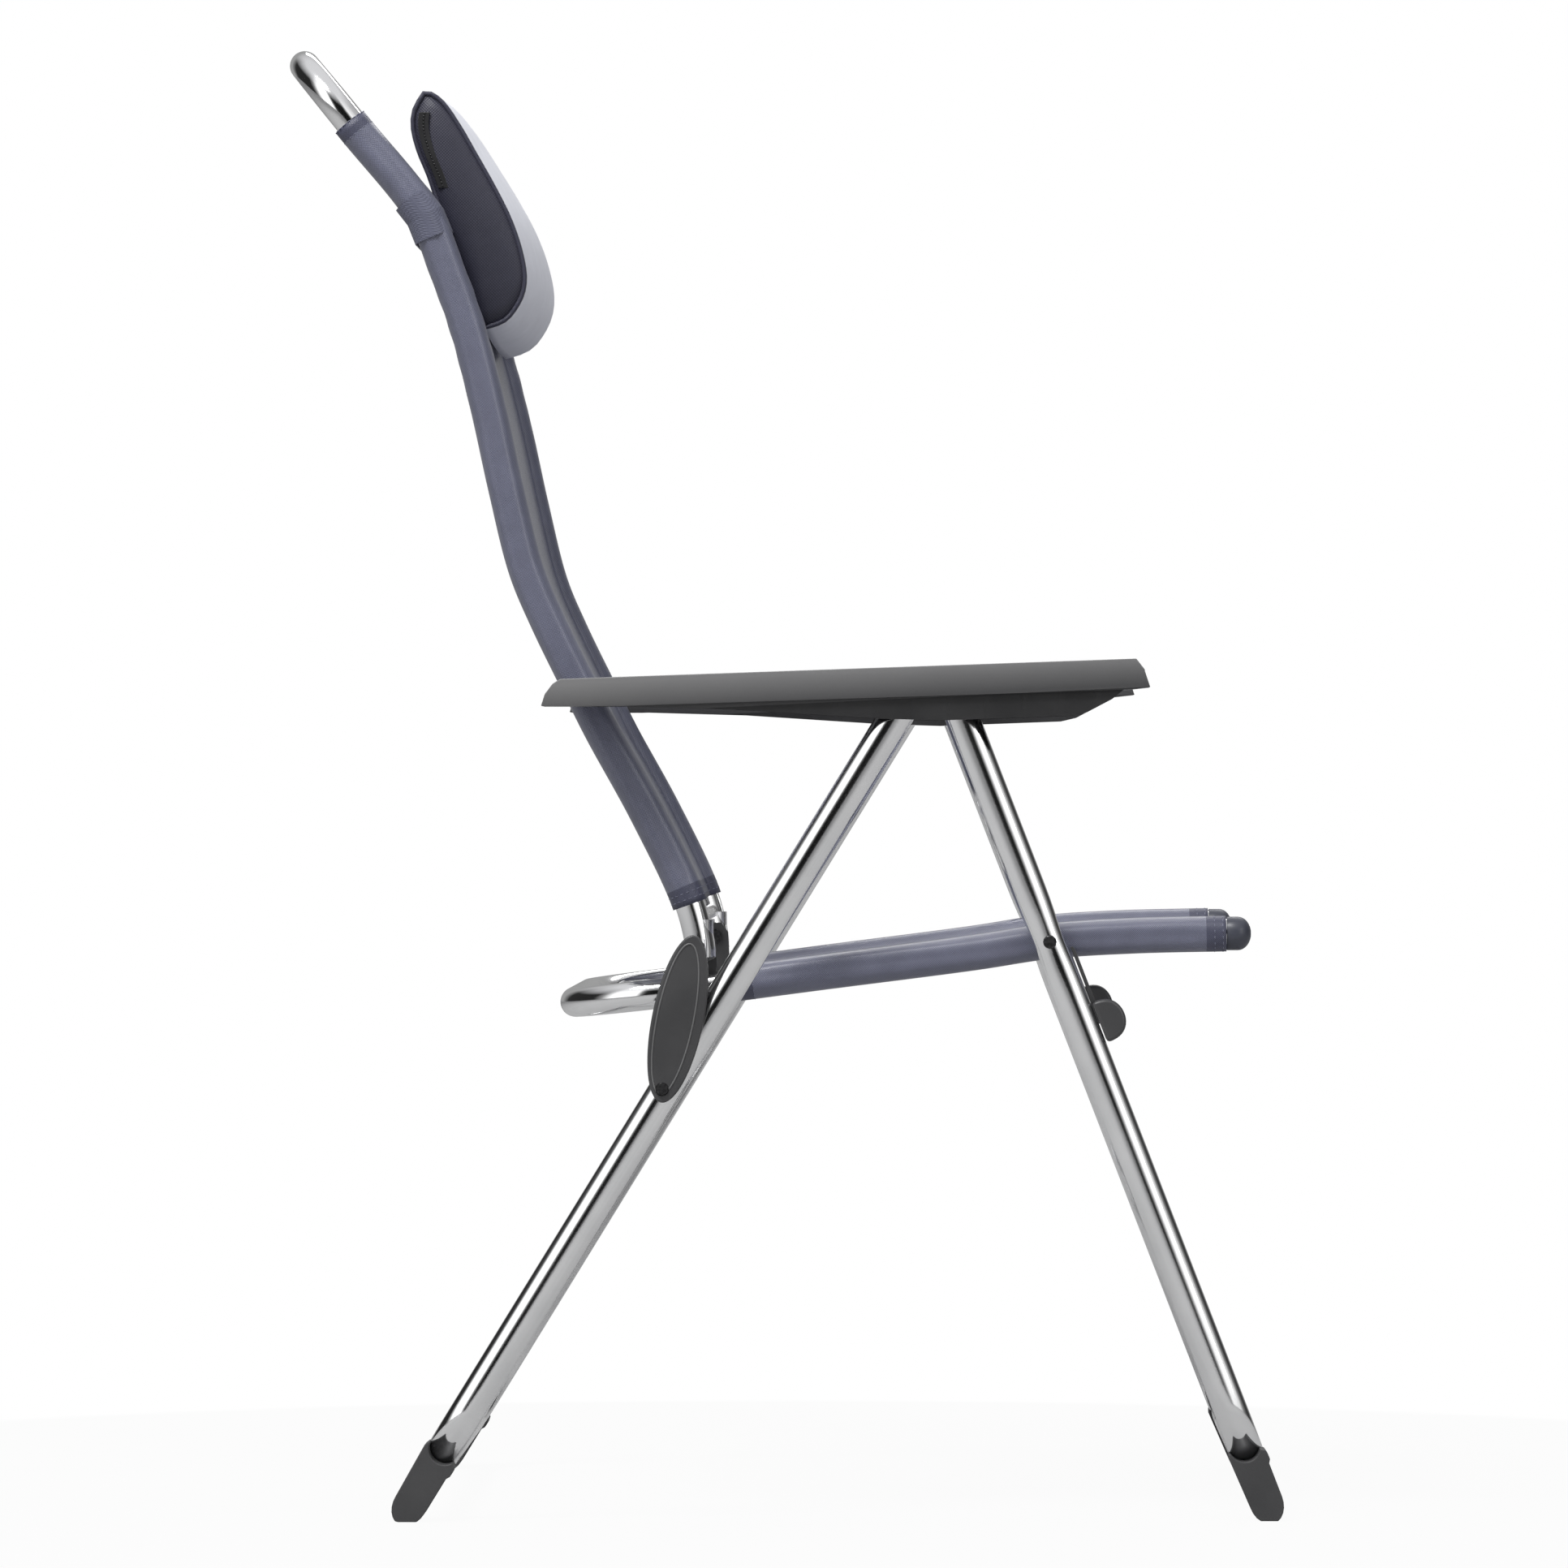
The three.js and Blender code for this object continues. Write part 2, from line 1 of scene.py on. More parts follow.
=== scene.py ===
"""Folding high-back camp chair: the visual model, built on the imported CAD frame.

The chair faces +X, +Z is up and Y = 0 is the plane of symmetry, with the sitter's left at +Y.
Dimensions are in millimetres unless a comment says metres. Side-view points are (x, z), and
mesh_from() turns millimetres into the scene's metres.
"""
import json
import math
from itertools import accumulate

import bmesh
import bpy
from mathutils import Matrix, Vector


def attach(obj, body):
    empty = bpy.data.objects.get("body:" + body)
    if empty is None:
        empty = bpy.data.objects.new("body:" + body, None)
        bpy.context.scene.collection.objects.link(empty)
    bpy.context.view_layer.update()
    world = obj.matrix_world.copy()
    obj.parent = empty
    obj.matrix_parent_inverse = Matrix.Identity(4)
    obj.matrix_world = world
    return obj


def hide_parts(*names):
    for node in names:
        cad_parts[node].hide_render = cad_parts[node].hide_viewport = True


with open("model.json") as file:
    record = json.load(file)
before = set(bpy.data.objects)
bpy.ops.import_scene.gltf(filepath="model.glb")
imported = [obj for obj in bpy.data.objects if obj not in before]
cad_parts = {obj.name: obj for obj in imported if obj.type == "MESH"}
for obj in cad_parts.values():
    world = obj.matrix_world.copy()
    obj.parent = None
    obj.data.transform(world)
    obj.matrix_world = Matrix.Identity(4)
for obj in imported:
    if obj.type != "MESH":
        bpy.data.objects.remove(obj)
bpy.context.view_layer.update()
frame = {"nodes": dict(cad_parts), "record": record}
SIDES = (("left", 1), ("right", -1))


def mm(value):
    return value * 0.001


# ---- driving dimensions: frame ----------------------------------------------------------
RAIL_Y = 232
FRONT_LEG_Y = 262
REAR_LEG_Y = 282.5
RAIL_R = 12
TUBE_WALL = 1.6
BORE_DEPTH = 30               # how deep the open tube ends are hollow
TUBE_SIDES = 40
CROSS_TUBE_R = 7
LEG_HALF_ACROSS = 9
LEG_HALF_ALONG = 13.5
FRONT_TOP = (140.2, 640.8)
REAR_TOP = (91.2, 640.8)
FRONT_BAR = (370, 47.5)
REAR_BAR = (-274.5, 47)
LEG_BEND = 48
LEG_STEPS = 60
LEG_TOP_REACH = 9             # the tube goes this far past its top pin
RIVET_DIMPLE = 22             # reach of the pinch round the rivet
SEAT_PIVOT = (211.3, 458.8)
CROSS_TUBE = (-71, 476)
SEAT_LINE = [(-169.4, 408.8), (-119.5, 414.3), (22.3, 433), (151.2, 449.7), (211.3, 458.8),
             (275, 463), (356, 465)]
SEAT_BEND = 70
SEAT_STEPS = 80
BACK_LINE = [(-66.6, 446), (-67, 455), (-75.6, 489.7), (-109.8, 561.9), (-145.2, 626.3),
             (-161.4, 658.6), (-189, 715), (-205.8, 755.2), (-221.9, 819.7), (-236.1, 884.1),
             (-252.9, 948.6), (-269, 993.7), (-287, 1037.5), (-343.7, 1108.4), (-386.3, 1161.3)]
BACK_BEND = 55
BACK_STEPS = 150
RAIL_BEND_STEPS = 24

# ---- driving dimensions: slings and pillow ----------------------------------------------
SEAT_SLING_X = (-39, 352)
BACK_SLING_Z = (488, 1112)
FOLD_AT = 0.50                # metres up the back sling to the puckers in its bend
HEM = 15                      # bands of doubled cloth at the ends of each sling
SHEET_RISE = 4                # the sheet lies this far in front of the rails' centres
SHEET_SAG = 1.2
SAG_MARGIN = 30               # the sag ends this far in from the rails' centres
SLEEVE_R = 13.7               # middle of the cloth round a rail
SLEEVE_SEAM = 25              # the seam lies this far in from the rail's centre
SLEEVE_STEPS = 36
CLOTH = 1.1                   # thickness of one layer
BACK_NORMAL = Vector((0.92, 0, 0.39))  # roughly the way the back sling faces
STITCH_INSET = 2.5            # hem stitches, in from each edge of the hem
PILLOW_HALF = 198
PILLOW_REAR = [(-289.5, 1138), (-296.9, 1125), (-298.4, 1112), (-294.1, 1093), (-285.7, 1072.5),
               (-280, 1055.6), (-272.5, 1034.9), (-264, 1012.4), (-255.5, 990), (-248, 967.3),
               (-241, 949.5)]
PILLOW_FRONT = [(-241, 949.5), (-224.4, 956), (-215, 967.3), (-209.9, 978.6), (-208.6, 991.7),
                (-212.3, 1012.4), (-220.7, 1036.8), (-233.7, 1063), (-248.6, 1089.4),
                (-261.6, 1112), (-274.6, 1130.5), (-283.9, 1137.5), (-289.5, 1138)]
PILLOW_REAR_STEPS = 26
PILLOW_FRONT_STEPS = 40
PILLOW_RINGS = (0, 1.5, 5, 12, 23, 40, 68, 103, 138, 173, 198)  # rings, in from each end
PILLOW_ENDS = ((0.12, 6.4), (0.36, 6.0), (0.62, 5.0), (0.86, 3.2))  # (share of size, bulge)
PILLOW_CROWN = 14             # how far stuffing swells the front
PIPING_R = 1.9
PIPING_PROUD = 0.4
ZIP_Z = (1060, 1124)
ZIP_TAPE = (4.5, 13)          # edges of the zip tape, ahead of the pillow's rear seam
ZIP_TEETH = 8.8
ZIP_STEPS = 60
ZIP_PROUD = (0.5, 5.6)        # faces of the zip tape, out from the pillow's side seam

# ---- driving dimensions: hardware -------------------------------------------------------
PLATE_MIDDLE = (-83, 398.3)
PLATE_HALF = (20.5, 67.5)
PLATE_TILT = 0.2              # radians
PLATE_Y = (293, 298)
RIM_HALF = (14.5, 60.5)
RIM_R = 0.7
RIM_SHIFT = -2
HINGE_LINK = [(80, 636), (87, 635), (145, 635), (152, 638), (151, 650), (127, 661), (105, 661),
              (82, 650)]
HINGE_LINK_Y = (271.5, 273)
STRIP_DOWN = (10, 88)         # ends of the bumper's strip, down the leg from the seat pivot
STRIP_Y = (250.2, 253)
BUMPER_DOWN = 74              # the bumper's middle, down the leg from the seat pivot
BUMPER_HALF = 17
BUMPER_AHEAD = 21
BUMPER_Y = (250.2, 269)
BOOT_HALF = 15.2
BOOT_SHANK_HALF = 13.4        # half width below the flange
BOOT_TOP = -11                # flange height, along the leg from the floor bar
BOOT_NOTCH = 12.6
BOOT_TOE = 16                 # where the toe starts to round, above the floor
BOOT_TOE_REACH = 18
BOOT_REACH = 24               # how far the boot goes inward, under the bend of the tube
BOOT_PROUD = 9.4              # the boot's outer face, out from the leg's centre
CAP_START = 352.4
CAP_END = 372
CAP_R = 13.4
CAP_BAND = 9                  # straight part of a cap, before its dome
CAP_SIDES = 36
CAP_STEPS = 8
ARM_Y = (248, 303)
ARM_LINE_Z = 646.8            # the line between armrest shell and skirt, at X = 0
ARM_LINE_SLOPE = 0.048
ARM_SHELL = 24                # height of the armrest's shell above that line
ARM_ROUND = 4.5
RIB_PITCH = 58
SOFT_EDGES = {"back_bracket": 0.8, "seat_pivot_bolt": 0.5, "link_foot_screw": 0.4,
              "ratchet_rack": 0.4}

# ---- driving dimensions: studio, in metres ----------------------------------------------
CAMERA_AT = Vector((0.119, -7.3, 0.578))
AIM_AT = Vector((0.001, -0.3, 0.584))
NEAR_SPAN = 1.238             # across the picture at the near side of the chair
SENSOR = 36                   # millimetres
FLOOR_HALF = 30
# Brightness round the horizon: (bearing, level). The bearing runs from 0 to 1, with 0.5 towards
# -Y and 0.25 towards -X.
STUDIO_BANDS = ((0.0, 0.55), (0.08, 0.55), (0.13, 0.04), (0.27, 0.03), (0.30, 0.45), (0.34, 2.2),
                (0.42, 2.2), (0.435, 0.30), (0.45, 0.01), (0.54, 0.01), (0.555, 0.40),
                (0.58, 1.7), (0.66, 1.2), (0.70, 0.35), (0.76, 0.06), (0.84, 0.10), (0.90, 0.55),
                (1.0, 0.55))


# ---- curves -----------------------------------------------------------------------------
def at_y(point, y):
    """A side-view point or a vector, moved to the side plane at y."""
    return Vector((point[0], y, point[-1]))


def side_direction(start, end):
    """The unit vector from one side-view point to another."""
    return (at_y(end, 0) - at_y(start, 0)).normalized()


def distances(points):
    """How far along a path each of its points lies."""
    return list(accumulate(((b - a).length for a, b in zip(points, points[1:])), initial=0.0))


def resample(points, samples):
    """The same path with evenly spaced points."""
    lengths = distances(points)
    out = []
    i = 0
    for k in range(samples + 1):
        want = lengths[-1] * k / samples
        while i < len(points) - 2 and lengths[i + 1] < want:
            i += 1
        share = (want - lengths[i]) / (lengths[i + 1] - lengths[i])
        out.append(points[i].lerp(points[i + 1], share))
    return out


def smooth_line(points, samples):
    """A centripetal Catmull-Rom curve through side-view points, evenly spaced."""
    pts = [at_y(p, 0) for p in points]
    pts = [2 * pts[0] - pts[1]] + pts + [2 * pts[-1] - pts[-2]]
    steps = 24
    dense = []
    for p0, p1, p2, p3 in zip(pts, pts[1:], pts[2:], pts[3:]):
        t1 = (p1 - p0).length ** 0.5
        t2 = t1 + (p2 - p1).length ** 0.5
        t3 = t2 + (p3 - p2).length ** 0.5
        for k in range(steps):
            t = t1 + (t2 - t1) * k / steps
            a1 = p0.lerp(p1, t / t1)
            a2 = p1.lerp(p2, (t - t1) / (t2 - t1))
            a3 = p2.lerp(p3, (t - t2) / (t3 - t2))
            b1 = a1.lerp(a2, t / t2)
            b2 = a2.lerp(a3, (t - t1) / (t3 - t1))
            dense.append(b1.lerp(b2, (t - t1) / (t2 - t1)))
    dense.append(pts[-2])
    return resample(dense, samples)


def part_of(line, axis, low, high):
    """The part of a line between two values of one coordinate, with exact ends."""
    def cut(value):
        for a, b in zip(line, line[1:]):
            if (a[axis] - value) * (b[axis] - value) <= 0:
                return a.lerp(b, (value - a[axis]) / (b[axis] - a[axis]))

    apart = 0.5
    inside = [p for p in line if low + apart < p[axis] < high - apart]
    return [cut(low)] + inside + [cut(high)]


def round_corner(start, corner, end, radius, steps=14):
    """The arc that rounds a corner, from one straight run to the next."""
    a = (start - corner).normalized()
    b = (end - corner).normalized()
    half = a.angle(b) / 2
    centre = corner + (a + b).normalized() * (radius / math.sin(half))
    first = corner + a * (radius / math.tan(half)) - centre
    axis = b.cross(a).normalized()
    turn = math.pi - 2 * half
    return [centre + Matrix.Rotation(turn * k / steps, 3, axis) @ first for k in range(steps + 1)]


def ring_frames(path, first_normal):
    """Each point with a normal and a side vector, carried along the path without twist."""
    frames = []
    normal = first_normal.copy()
    for i, p in enumerate(path):
        before = path[max(i - 1, 0)]
        after = path[min(i + 1, len(path) - 1)]
        into = (p - before).normalized() if i else (after - p).normalized()
        out = (after - p).normalized() if i < len(path) - 1 else into
        tangent = (into + out).normalized()
        normal = (normal - tangent * normal.dot(tangent)).normalized()
        frames.append((p, normal, tangent.cross(normal)))
    return frames


# ---- meshes and pieces ------------------------------------------------------------------
def mesh_from(name, verts, faces):
    mesh = bpy.data.meshes.new(name)
    mesh.from_pydata([tuple(mm(c) for c in v) for v in verts], [], faces)
    mesh.validate()
    return mesh


def outward(mesh):
    """Turns every face of a closed mesh outward."""
    bm = bmesh.new()
    bm.from_mesh(mesh)
    bmesh.ops.recalc_face_normals(bm, faces=bm.faces)
    bm.to_mesh(mesh)
    bm.free()


def ring_faces(rings, count):
    """The faces between neighbouring rings of count points each."""
    return [(r * count + k, r * count + (k + 1) % count, (r + 1) * count + (k + 1) % count,
             (r + 1) * count + k) for r in range(rings - 1) for k in range(count)]


def skin(name, rings):
    """A closed mesh over rings with the same number of points, with flat ends."""
    count = len(rings[0])
    last = (len(rings) - 1) * count
    ends = [tuple(range(count)), tuple(last + k for k in range(count))]
    verts = [v for ring in rings for v in ring]
    mesh = mesh_from(name, verts, ring_faces(len(rings), count) + ends)
    outward(mesh)
    return mesh


def new_object(name, mesh, material):
    obj = bpy.data.objects.new(name, mesh)
    bpy.context.scene.collection.objects.link(obj)
    mesh.materials.append(material)
    mesh.polygons.foreach_set("use_smooth", [True] * len(mesh.polygons))
    return obj


def sharpen(obj, angle=35):
    """Marks the hard edges of a smooth-shaded mesh."""
    obj.data.set_sharp_from_angle(angle=math.radians(angle))
    return obj


def bevelled(obj, width, segments=3, harden=True):
    mod = obj.modifiers.new("Bevel", "BEVEL")
    mod.width = mm(width)
    mod.segments = segments
    mod.limit_method = "ANGLE"
    mod.angle_limit = math.radians(40)
    mod.harden_normals = harden
    return obj


def apply_modifiers(obj):
    """Applies every modifier, so that the mesh is what shows."""
    graph = bpy.context.evaluated_depsgraph_get()
    graph.update()
    mesh = bpy.data.meshes.new_from_object(obj.evaluated_get(graph))
    old = obj.data
    obj.modifiers.clear()
    obj.data = mesh
    bpy.data.meshes.remove(old)


def tube_mesh(name, path, half_normal, half_side, first_normal, squeeze=None):
    """A tube with a real wall, open at both ends. squeeze(p) may scale its two half widths."""
    angles = [2 * math.pi * k / TUBE_SIDES for k in range(TUBE_SIDES)]

    def ring(p, n, s, a, b):
        return [p + n * (a * math.cos(t)) + s * (b * math.sin(t)) for t in angles]

    frames = ring_frames(path, first_normal)
    outside = []
    for p, n, s in frames:
        a, b = squeeze(p) if squeeze else (1, 1)
        outside.append(ring(p, n, s, half_normal * a, half_side * b))
    bores = []
    for (p, n, s), direction in ((frames[0], 1), (frames[-1], -1)):
        into = n.cross(s) * direction
        bores.append([ring(p + into * depth, n, s, half_normal - TUBE_WALL, half_side - TUBE_WALL)
                      for depth in (0.0, BORE_DEPTH)])
    return skin(name, bores[0][::-1] + outside + bores[1])


def slab(name, outline, ys, side, material, bevel, segments=3):
    """A flat piece with a side-view outline between two distances from the middle."""
    mesh = skin(name, [[at_y(p, side * y) for p in outline] for y in ys])
    return sharpen(bevelled(new_object(name, mesh, material), bevel, segments))


def cord(name, path, radius, material):
    """A closed cord along a flat loop that lies in a side plane."""
    sides = 8
    count = len(path)
    verts = []
    for i, p in enumerate(path):
        along = (path[(i + 1) % count] - path[i - 1]).normalized()
        out = along.cross(Vector((0, 1, 0))).normalized()
        for k in range(sides):
            t = 2 * math.pi * k / sides
            verts.append(p + out * (radius * math.cos(t)) + Vector((0, radius * math.sin(t), 0)))
    faces = [tuple(v % len(verts) for v in face) for face in ring_faces(count + 1, sides)]
    mesh = mesh_from(name, verts, faces)
    outward(mesh)
    return new_object(name, mesh, material)


def stitches(name, path, material, length=3.2, gap=1.8, radius=0.35):
    """A row of separate stitches that lie along a path."""
    fine = resample(path, max(2, int(distances(path)[-1] / ((length + gap) / 2))))
    verts = []
    faces = []
    for a, b in zip(fine[::2], fine[1::2]):
        along = (b - a).normalized()
        side = along.orthogonal().normalized()
        other = along.cross(side)
        base = len(verts)
        for end in (a, b):
            verts += [end + side * radius, end + other * radius, end - side * radius,
                      end - other * radius]
        faces += [tuple(base + v for v in face) for face in ring_faces(2, 4)]
        faces += [(base, base + 3, base + 2, base + 1), (base + 4, base + 5, base + 6, base + 7)]
    mesh = mesh_from(name, verts, faces)
    outward(mesh)
    return new_object(name, mesh, material)


def finish_piece(obj, body, slot, *nodes):
    """Parents a piece to the empty of the body it rides on and hides the CAD nodes it stands for.
    slot is not used.
    """
    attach(obj, body)
    if nodes:
        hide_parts(*nodes)
    return obj


# ---- materials --------------------------------------------------------------------------
def greys(*stops):
    """Colour stops from (position, level) pairs."""
    return [(position, (level, level, level)) for position, level in stops]


class Graph:
    """Adds and joins shader nodes in one node tree."""

    def __init__(self, tree):
        self.tree = tree

    def node(self, kind, **values):
        """A new node. Each value goes to the input or the property of that name."""
        node = self.tree.nodes.new(kind)
        for key, value in values.items():
            if key in node.inputs:
                node.inputs[key].default_value = value
            else:
                setattr(node, key, value)
        return node

    def link(self, source, target):
        self.tree.links.new(source, target)

    def plug(self, value, socket):
        """Links an output, or sets a number or a colour."""
        if hasattr(value, "links"):
            self.link(value, socket)
        elif isinstance(value, tuple):
            socket.default_value = (*value, 1)
        else:
            socket.default_value = value

    def math(self, operation, *terms):
        node = self.node("ShaderNodeMath", operation=operation)
        for socket, value in zip(node.inputs, terms):
            self.plug(value, socket)
        return node.outputs[0]

    def split(self, vector):
        """The X, Y and Z outputs of a vector."""
        node = self.node("ShaderNodeSeparateXYZ")
        self.link(vector, node.inputs[0])
        return node.outputs

    def ramp(self, factor, stops):
        node = self.node("ShaderNodeValToRGB")
        self.link(factor, node.inputs["Fac"])
        elements = node.color_ramp.elements
        while len(elements) < len(stops):
            elements.new(0.5)
        for element, (position, colour) in zip(elements, stops):
            element.position = position
            element.color = (*colour, 1)
        return node.outputs["Color"]

    def mix(self, factor, a, b):
        node = self.node("ShaderNodeMix", data_type="RGBA")
        for socket, value in zip((node.inputs[0], node.inputs[6], node.inputs[7]), (factor, a, b)):
            self.plug(value, socket)
        return node.outputs[2]

    def for_camera(self, share, shader, instead):
        """A shader, with a share of another one in its place for what the camera sees."""
        camera_ray = self.node("ShaderNodeLightPath").outputs["Is Camera Ray"]
        mix = self.node("ShaderNodeMixShader")
        self.link(self.math("MULTIPLY", share, camera_ray), mix.inputs[0])
        self.link(shader.outputs[0], mix.inputs[1])
        self.link(instead.outputs[0], mix.inputs[2])
        return mix.outputs[0]


class Shader(Graph):
    """A new material, built round its Principled BSDF."""

    def __init__(self, name):
        self.material = bpy.data.materials.new(name)
        self.material.use_nodes = True
        super().__init__(self.material.node_tree)
        self.bsdf = self.tree.nodes["Principled BSDF"]

    def coords(self, scale=(1, 1, 1)):
        """Object coordinates, which are the chair's own in metres."""
        source = self.node("ShaderNodeTexCoord")
        mapping = self.node("ShaderNodeMapping")
        mapping.inputs["Scale"].default_value = scale
        self.link(source.outputs["Object"], mapping.inputs["Vector"])
        return mapping.outputs[0]

    def noise(self, scale, detail, squeeze=(1, 1, 1)):
        """Noise in object space. Its grain is long where squeeze is small."""
        node = self.node("ShaderNodeTexNoise", Scale=scale, Detail=detail)
        self.link(self.coords(squeeze), node.inputs["Vector"])
        return node.outputs["Fac"]

    def bump(self, height, strength, distance):
        node = self.node("ShaderNodeBump", Strength=strength, Distance=distance)
        self.link(height, node.inputs["Height"])
        self.link(node.outputs[0], self.bsdf.inputs["Normal"])

    def set(self, **values):
        for key, value in values.items():
            self.bsdf.inputs[key.replace("_", " ")].default_value = value

    def feed(self, output, name):
        self.link(output, self.bsdf.inputs[name])


def aluminium():
    """Polished tube: long drawing marks, a few smudges and a faint haze."""
    s = Shader("Polished aluminium")
    s.set(Metallic=1.0)
    smudge = s.noise(22, 4)
    marks = s.noise(900, 2, (0.25, 1, 0.25))
    tone = s.ramp(smudge, [(0.3, (0.86, 0.865, 0.87)), (0.7, (0.94, 0.94, 0.945))])
    s.feed(tone, "Base Color")
    s.feed(s.math("MULTIPLY_ADD", smudge, 0.07, 0.07), "Roughness")
    s.bump(marks, 0.04, 0.0002)
    return s.material


def steel():
    s = Shader("Dark zinc steel")
    s.set(Metallic=0.9)
    grain = s.noise(420, 4)
    s.feed(s.ramp(grain, [(0.3, (0.035, 0.035, 0.036)), (0.75, (0.09, 0.09, 0.092))]), "Base Color")
    s.feed(s.ramp(grain, greys((0.2, 0.28), (0.8, 0.45))), "Roughness")
    s.bump(grain, 0.12, 0.0002)
    return s.material


def plastic(name, dark, light, roughness):
    """Moulded plastic with a fine spark-eroded texture and slight handling shine."""
    s = Shader(name)
    grain = s.noise(1500, 2)
    patches = s.noise(18, 3)
    s.feed(s.ramp(patches, [(0.3, dark), (0.7, light)]), "Base Color")
    shine = greys((0.3, roughness - 0.05), (0.75, roughness + 0.06))
    s.feed(s.ramp(patches, shine), "Roughness")
    s.set(Specular_IOR_Level=0.5)
    s.bump(grain, 0.18, 0.00025)
    return s.material


def armrest_plastic():
    """Two-tone moulding: a paler top shell over a darker, faintly ribbed skirt, with painted light
    on the shell.
    """
    s = Shader("Armrest plastic")
    x, _, z = s.split(s.coords())
    line = s.math("MULTIPLY_ADD", x, ARM_LINE_SLOPE, mm(ARM_LINE_Z))
    shell = s.math("GREATER_THAN", z, line)
    patches = s.noise(16, 3)
    # Painted light: over its own paler grey, the shell is painted lighter towards its top edge,
    # where light from above falls.
    painted_light_rise = s.math("MULTIPLY", s.math("SUBTRACT", z, line), 1 / mm(ARM_SHELL))
    top = s.ramp(painted_light_rise, [(0.1, (0.070, 0.070, 0.072)), (1.0, (0.190, 0.190, 0.192))])
    skirt = s.ramp(patches, [(0.3, (0.024, 0.024, 0.025)), (0.7, (0.034, 0.034, 0.035))])
    s.feed(s.mix(shell, skirt, top), "Base Color")
    s.feed(s.ramp(patches, greys((0.3, 0.33), (0.75, 0.44))), "Roughness")
    rib = s.math("SINE", s.math("MULTIPLY", x, 2 * math.pi / mm(RIB_PITCH)))
    rib = s.math("POWER", s.math("ABSOLUTE", rib), 14.0)
    rib = s.math("MULTIPLY", rib, s.math("SUBTRACT", 1.0, shell))
    s.bump(s.math("ADD", rib, s.math("MULTIPLY", s.noise(1500, 2), 0.12)), 0.6, 0.0006)
    return s.material


def weave(name, dark, light, pitch, sheen=0.25, roughness=0.5, contrast=1.0, bump=0.5,
          axes=None, coat=0.0):
    """Coated mesh cloth with crossed threads, a pitch in millimetres apart.

    The threads follow the Cloth map, or two of the chair's own axes.
    """
    s = Shader(name)
    place = s.coords() if axes else s.node("ShaderNodeUVMap", uv_map="Cloth").outputs[0]
    parts = s.split(place)
    turns = 2 * math.pi / mm(pitch)
    first, second = axes or "XY"
    warp = s.math("SINE", s.math("MULTIPLY", parts[first], turns))
    weft = s.math("SINE", s.math("MULTIPLY", parts[second], turns))
    height = s.math("MULTIPLY_ADD", s.math("MULTIPLY", warp, weft), 0.5 * contrast, 0.5)
    slub = s.math("MULTIPLY", s.noise(60, 3), 0.5)
    fine = s.math("MULTIPLY", s.noise(1400, 2), 0.25)
    colour = s.mix(height, dark, light)
    colour = s.mix(slub, colour, tuple(0.75 * c for c in dark))
    colour = s.mix(fine, colour, tuple(min(1, 1.25 * c) for c in light))
    s.feed(colour, "Base Color")
    s.set(Roughness=roughness, Sheen_Weight=sheen, Sheen_Roughness=0.45, Coat_Weight=coat,
          Coat_Roughness=0.26)
    s.bump(height, bump, 0.0004)
    return s.material


def thread():
    s = Shader("Sewing thread")
    twist = s.noise(2500, 1)
    s.feed(s.ramp(twist, [(0.3, (0.10, 0.105, 0.16)), (0.7, (0.30, 0.31, 0.40))]), "Base Color")
    s.set(Roughness=0.6)
    return s.material


ALUMINIUM = aluminium()
STEEL = steel()
DARK_PLASTIC = plastic("Dark satin plastic", (0.050, 0.050, 0.052), (0.068, 0.068, 0.070), 0.42)
# The bead round each link plate is a lighter grey than the plate.
RIM_PLASTIC = plastic("Lighter rim plastic", (0.13, 0.13, 0.132), (0.17, 0.17, 0.172), 0.35)
BLACK_PLASTIC = plastic("Black plastic", (0.012, 0.012, 0.013), (0.020, 0.020, 0.022), 0.45)
ARM_PLASTIC = armrest_plastic()
FOOT_RUBBER = plastic("Foot rubber", (0.046, 0.046, 0.048), (0.062, 0.062, 0.064), 0.55)
CAP_PLASTIC = plastic("End cap plastic", (0.045, 0.048, 0.066), (0.060, 0.064, 0.085), 0.40)
SLING = weave("Sling cloth", (0.044, 0.047, 0.074), (0.225, 0.235, 0.330), 1.6, sheen=0.10,
              roughness=0.36, coat=0.5)
HEM_CLOTH = weave("Hem cloth", (0.028, 0.030, 0.052), (0.105, 0.110, 0.170), 1.6, sheen=0.05,
                  roughness=0.42, contrast=0.7)
STRAP_CLOTH = weave("Elastic strap", (0.070, 0.074, 0.110), (0.155, 0.162, 0.230), 2.2,
                    sheen=0.08, axes="YZ")
GUSSET = weave("Pillow mesh gusset", (0.008, 0.008, 0.018), (0.048, 0.048, 0.076), 2.4,
               sheen=0.04, axes="XZ")
PANEL = weave("Pillow front cloth", (0.74, 0.76, 0.86), (0.84, 0.86, 0.93), 1.1, sheen=0.1,
              roughness=0.8, contrast=0.2, bump=0.04, axes="YZ")
PIPING = weave("Pillow piping", (0.016, 0.016, 0.032), (0.040, 0.040, 0.075), 1.5, axes="XZ")
THREAD = thread()
SLOT_MATERIALS = {"aluminium_tube": ALUMINIUM, "steel": STEEL, "dark_plastic": DARK_PLASTIC,
                  "arm_plastic": ARM_PLASTIC, "foot_rubber": FOOT_RUBBER, "sling_fabric": SLING,
                  "pillow_fabric": PANEL, "strap_webbing": STRAP_CLOTH}


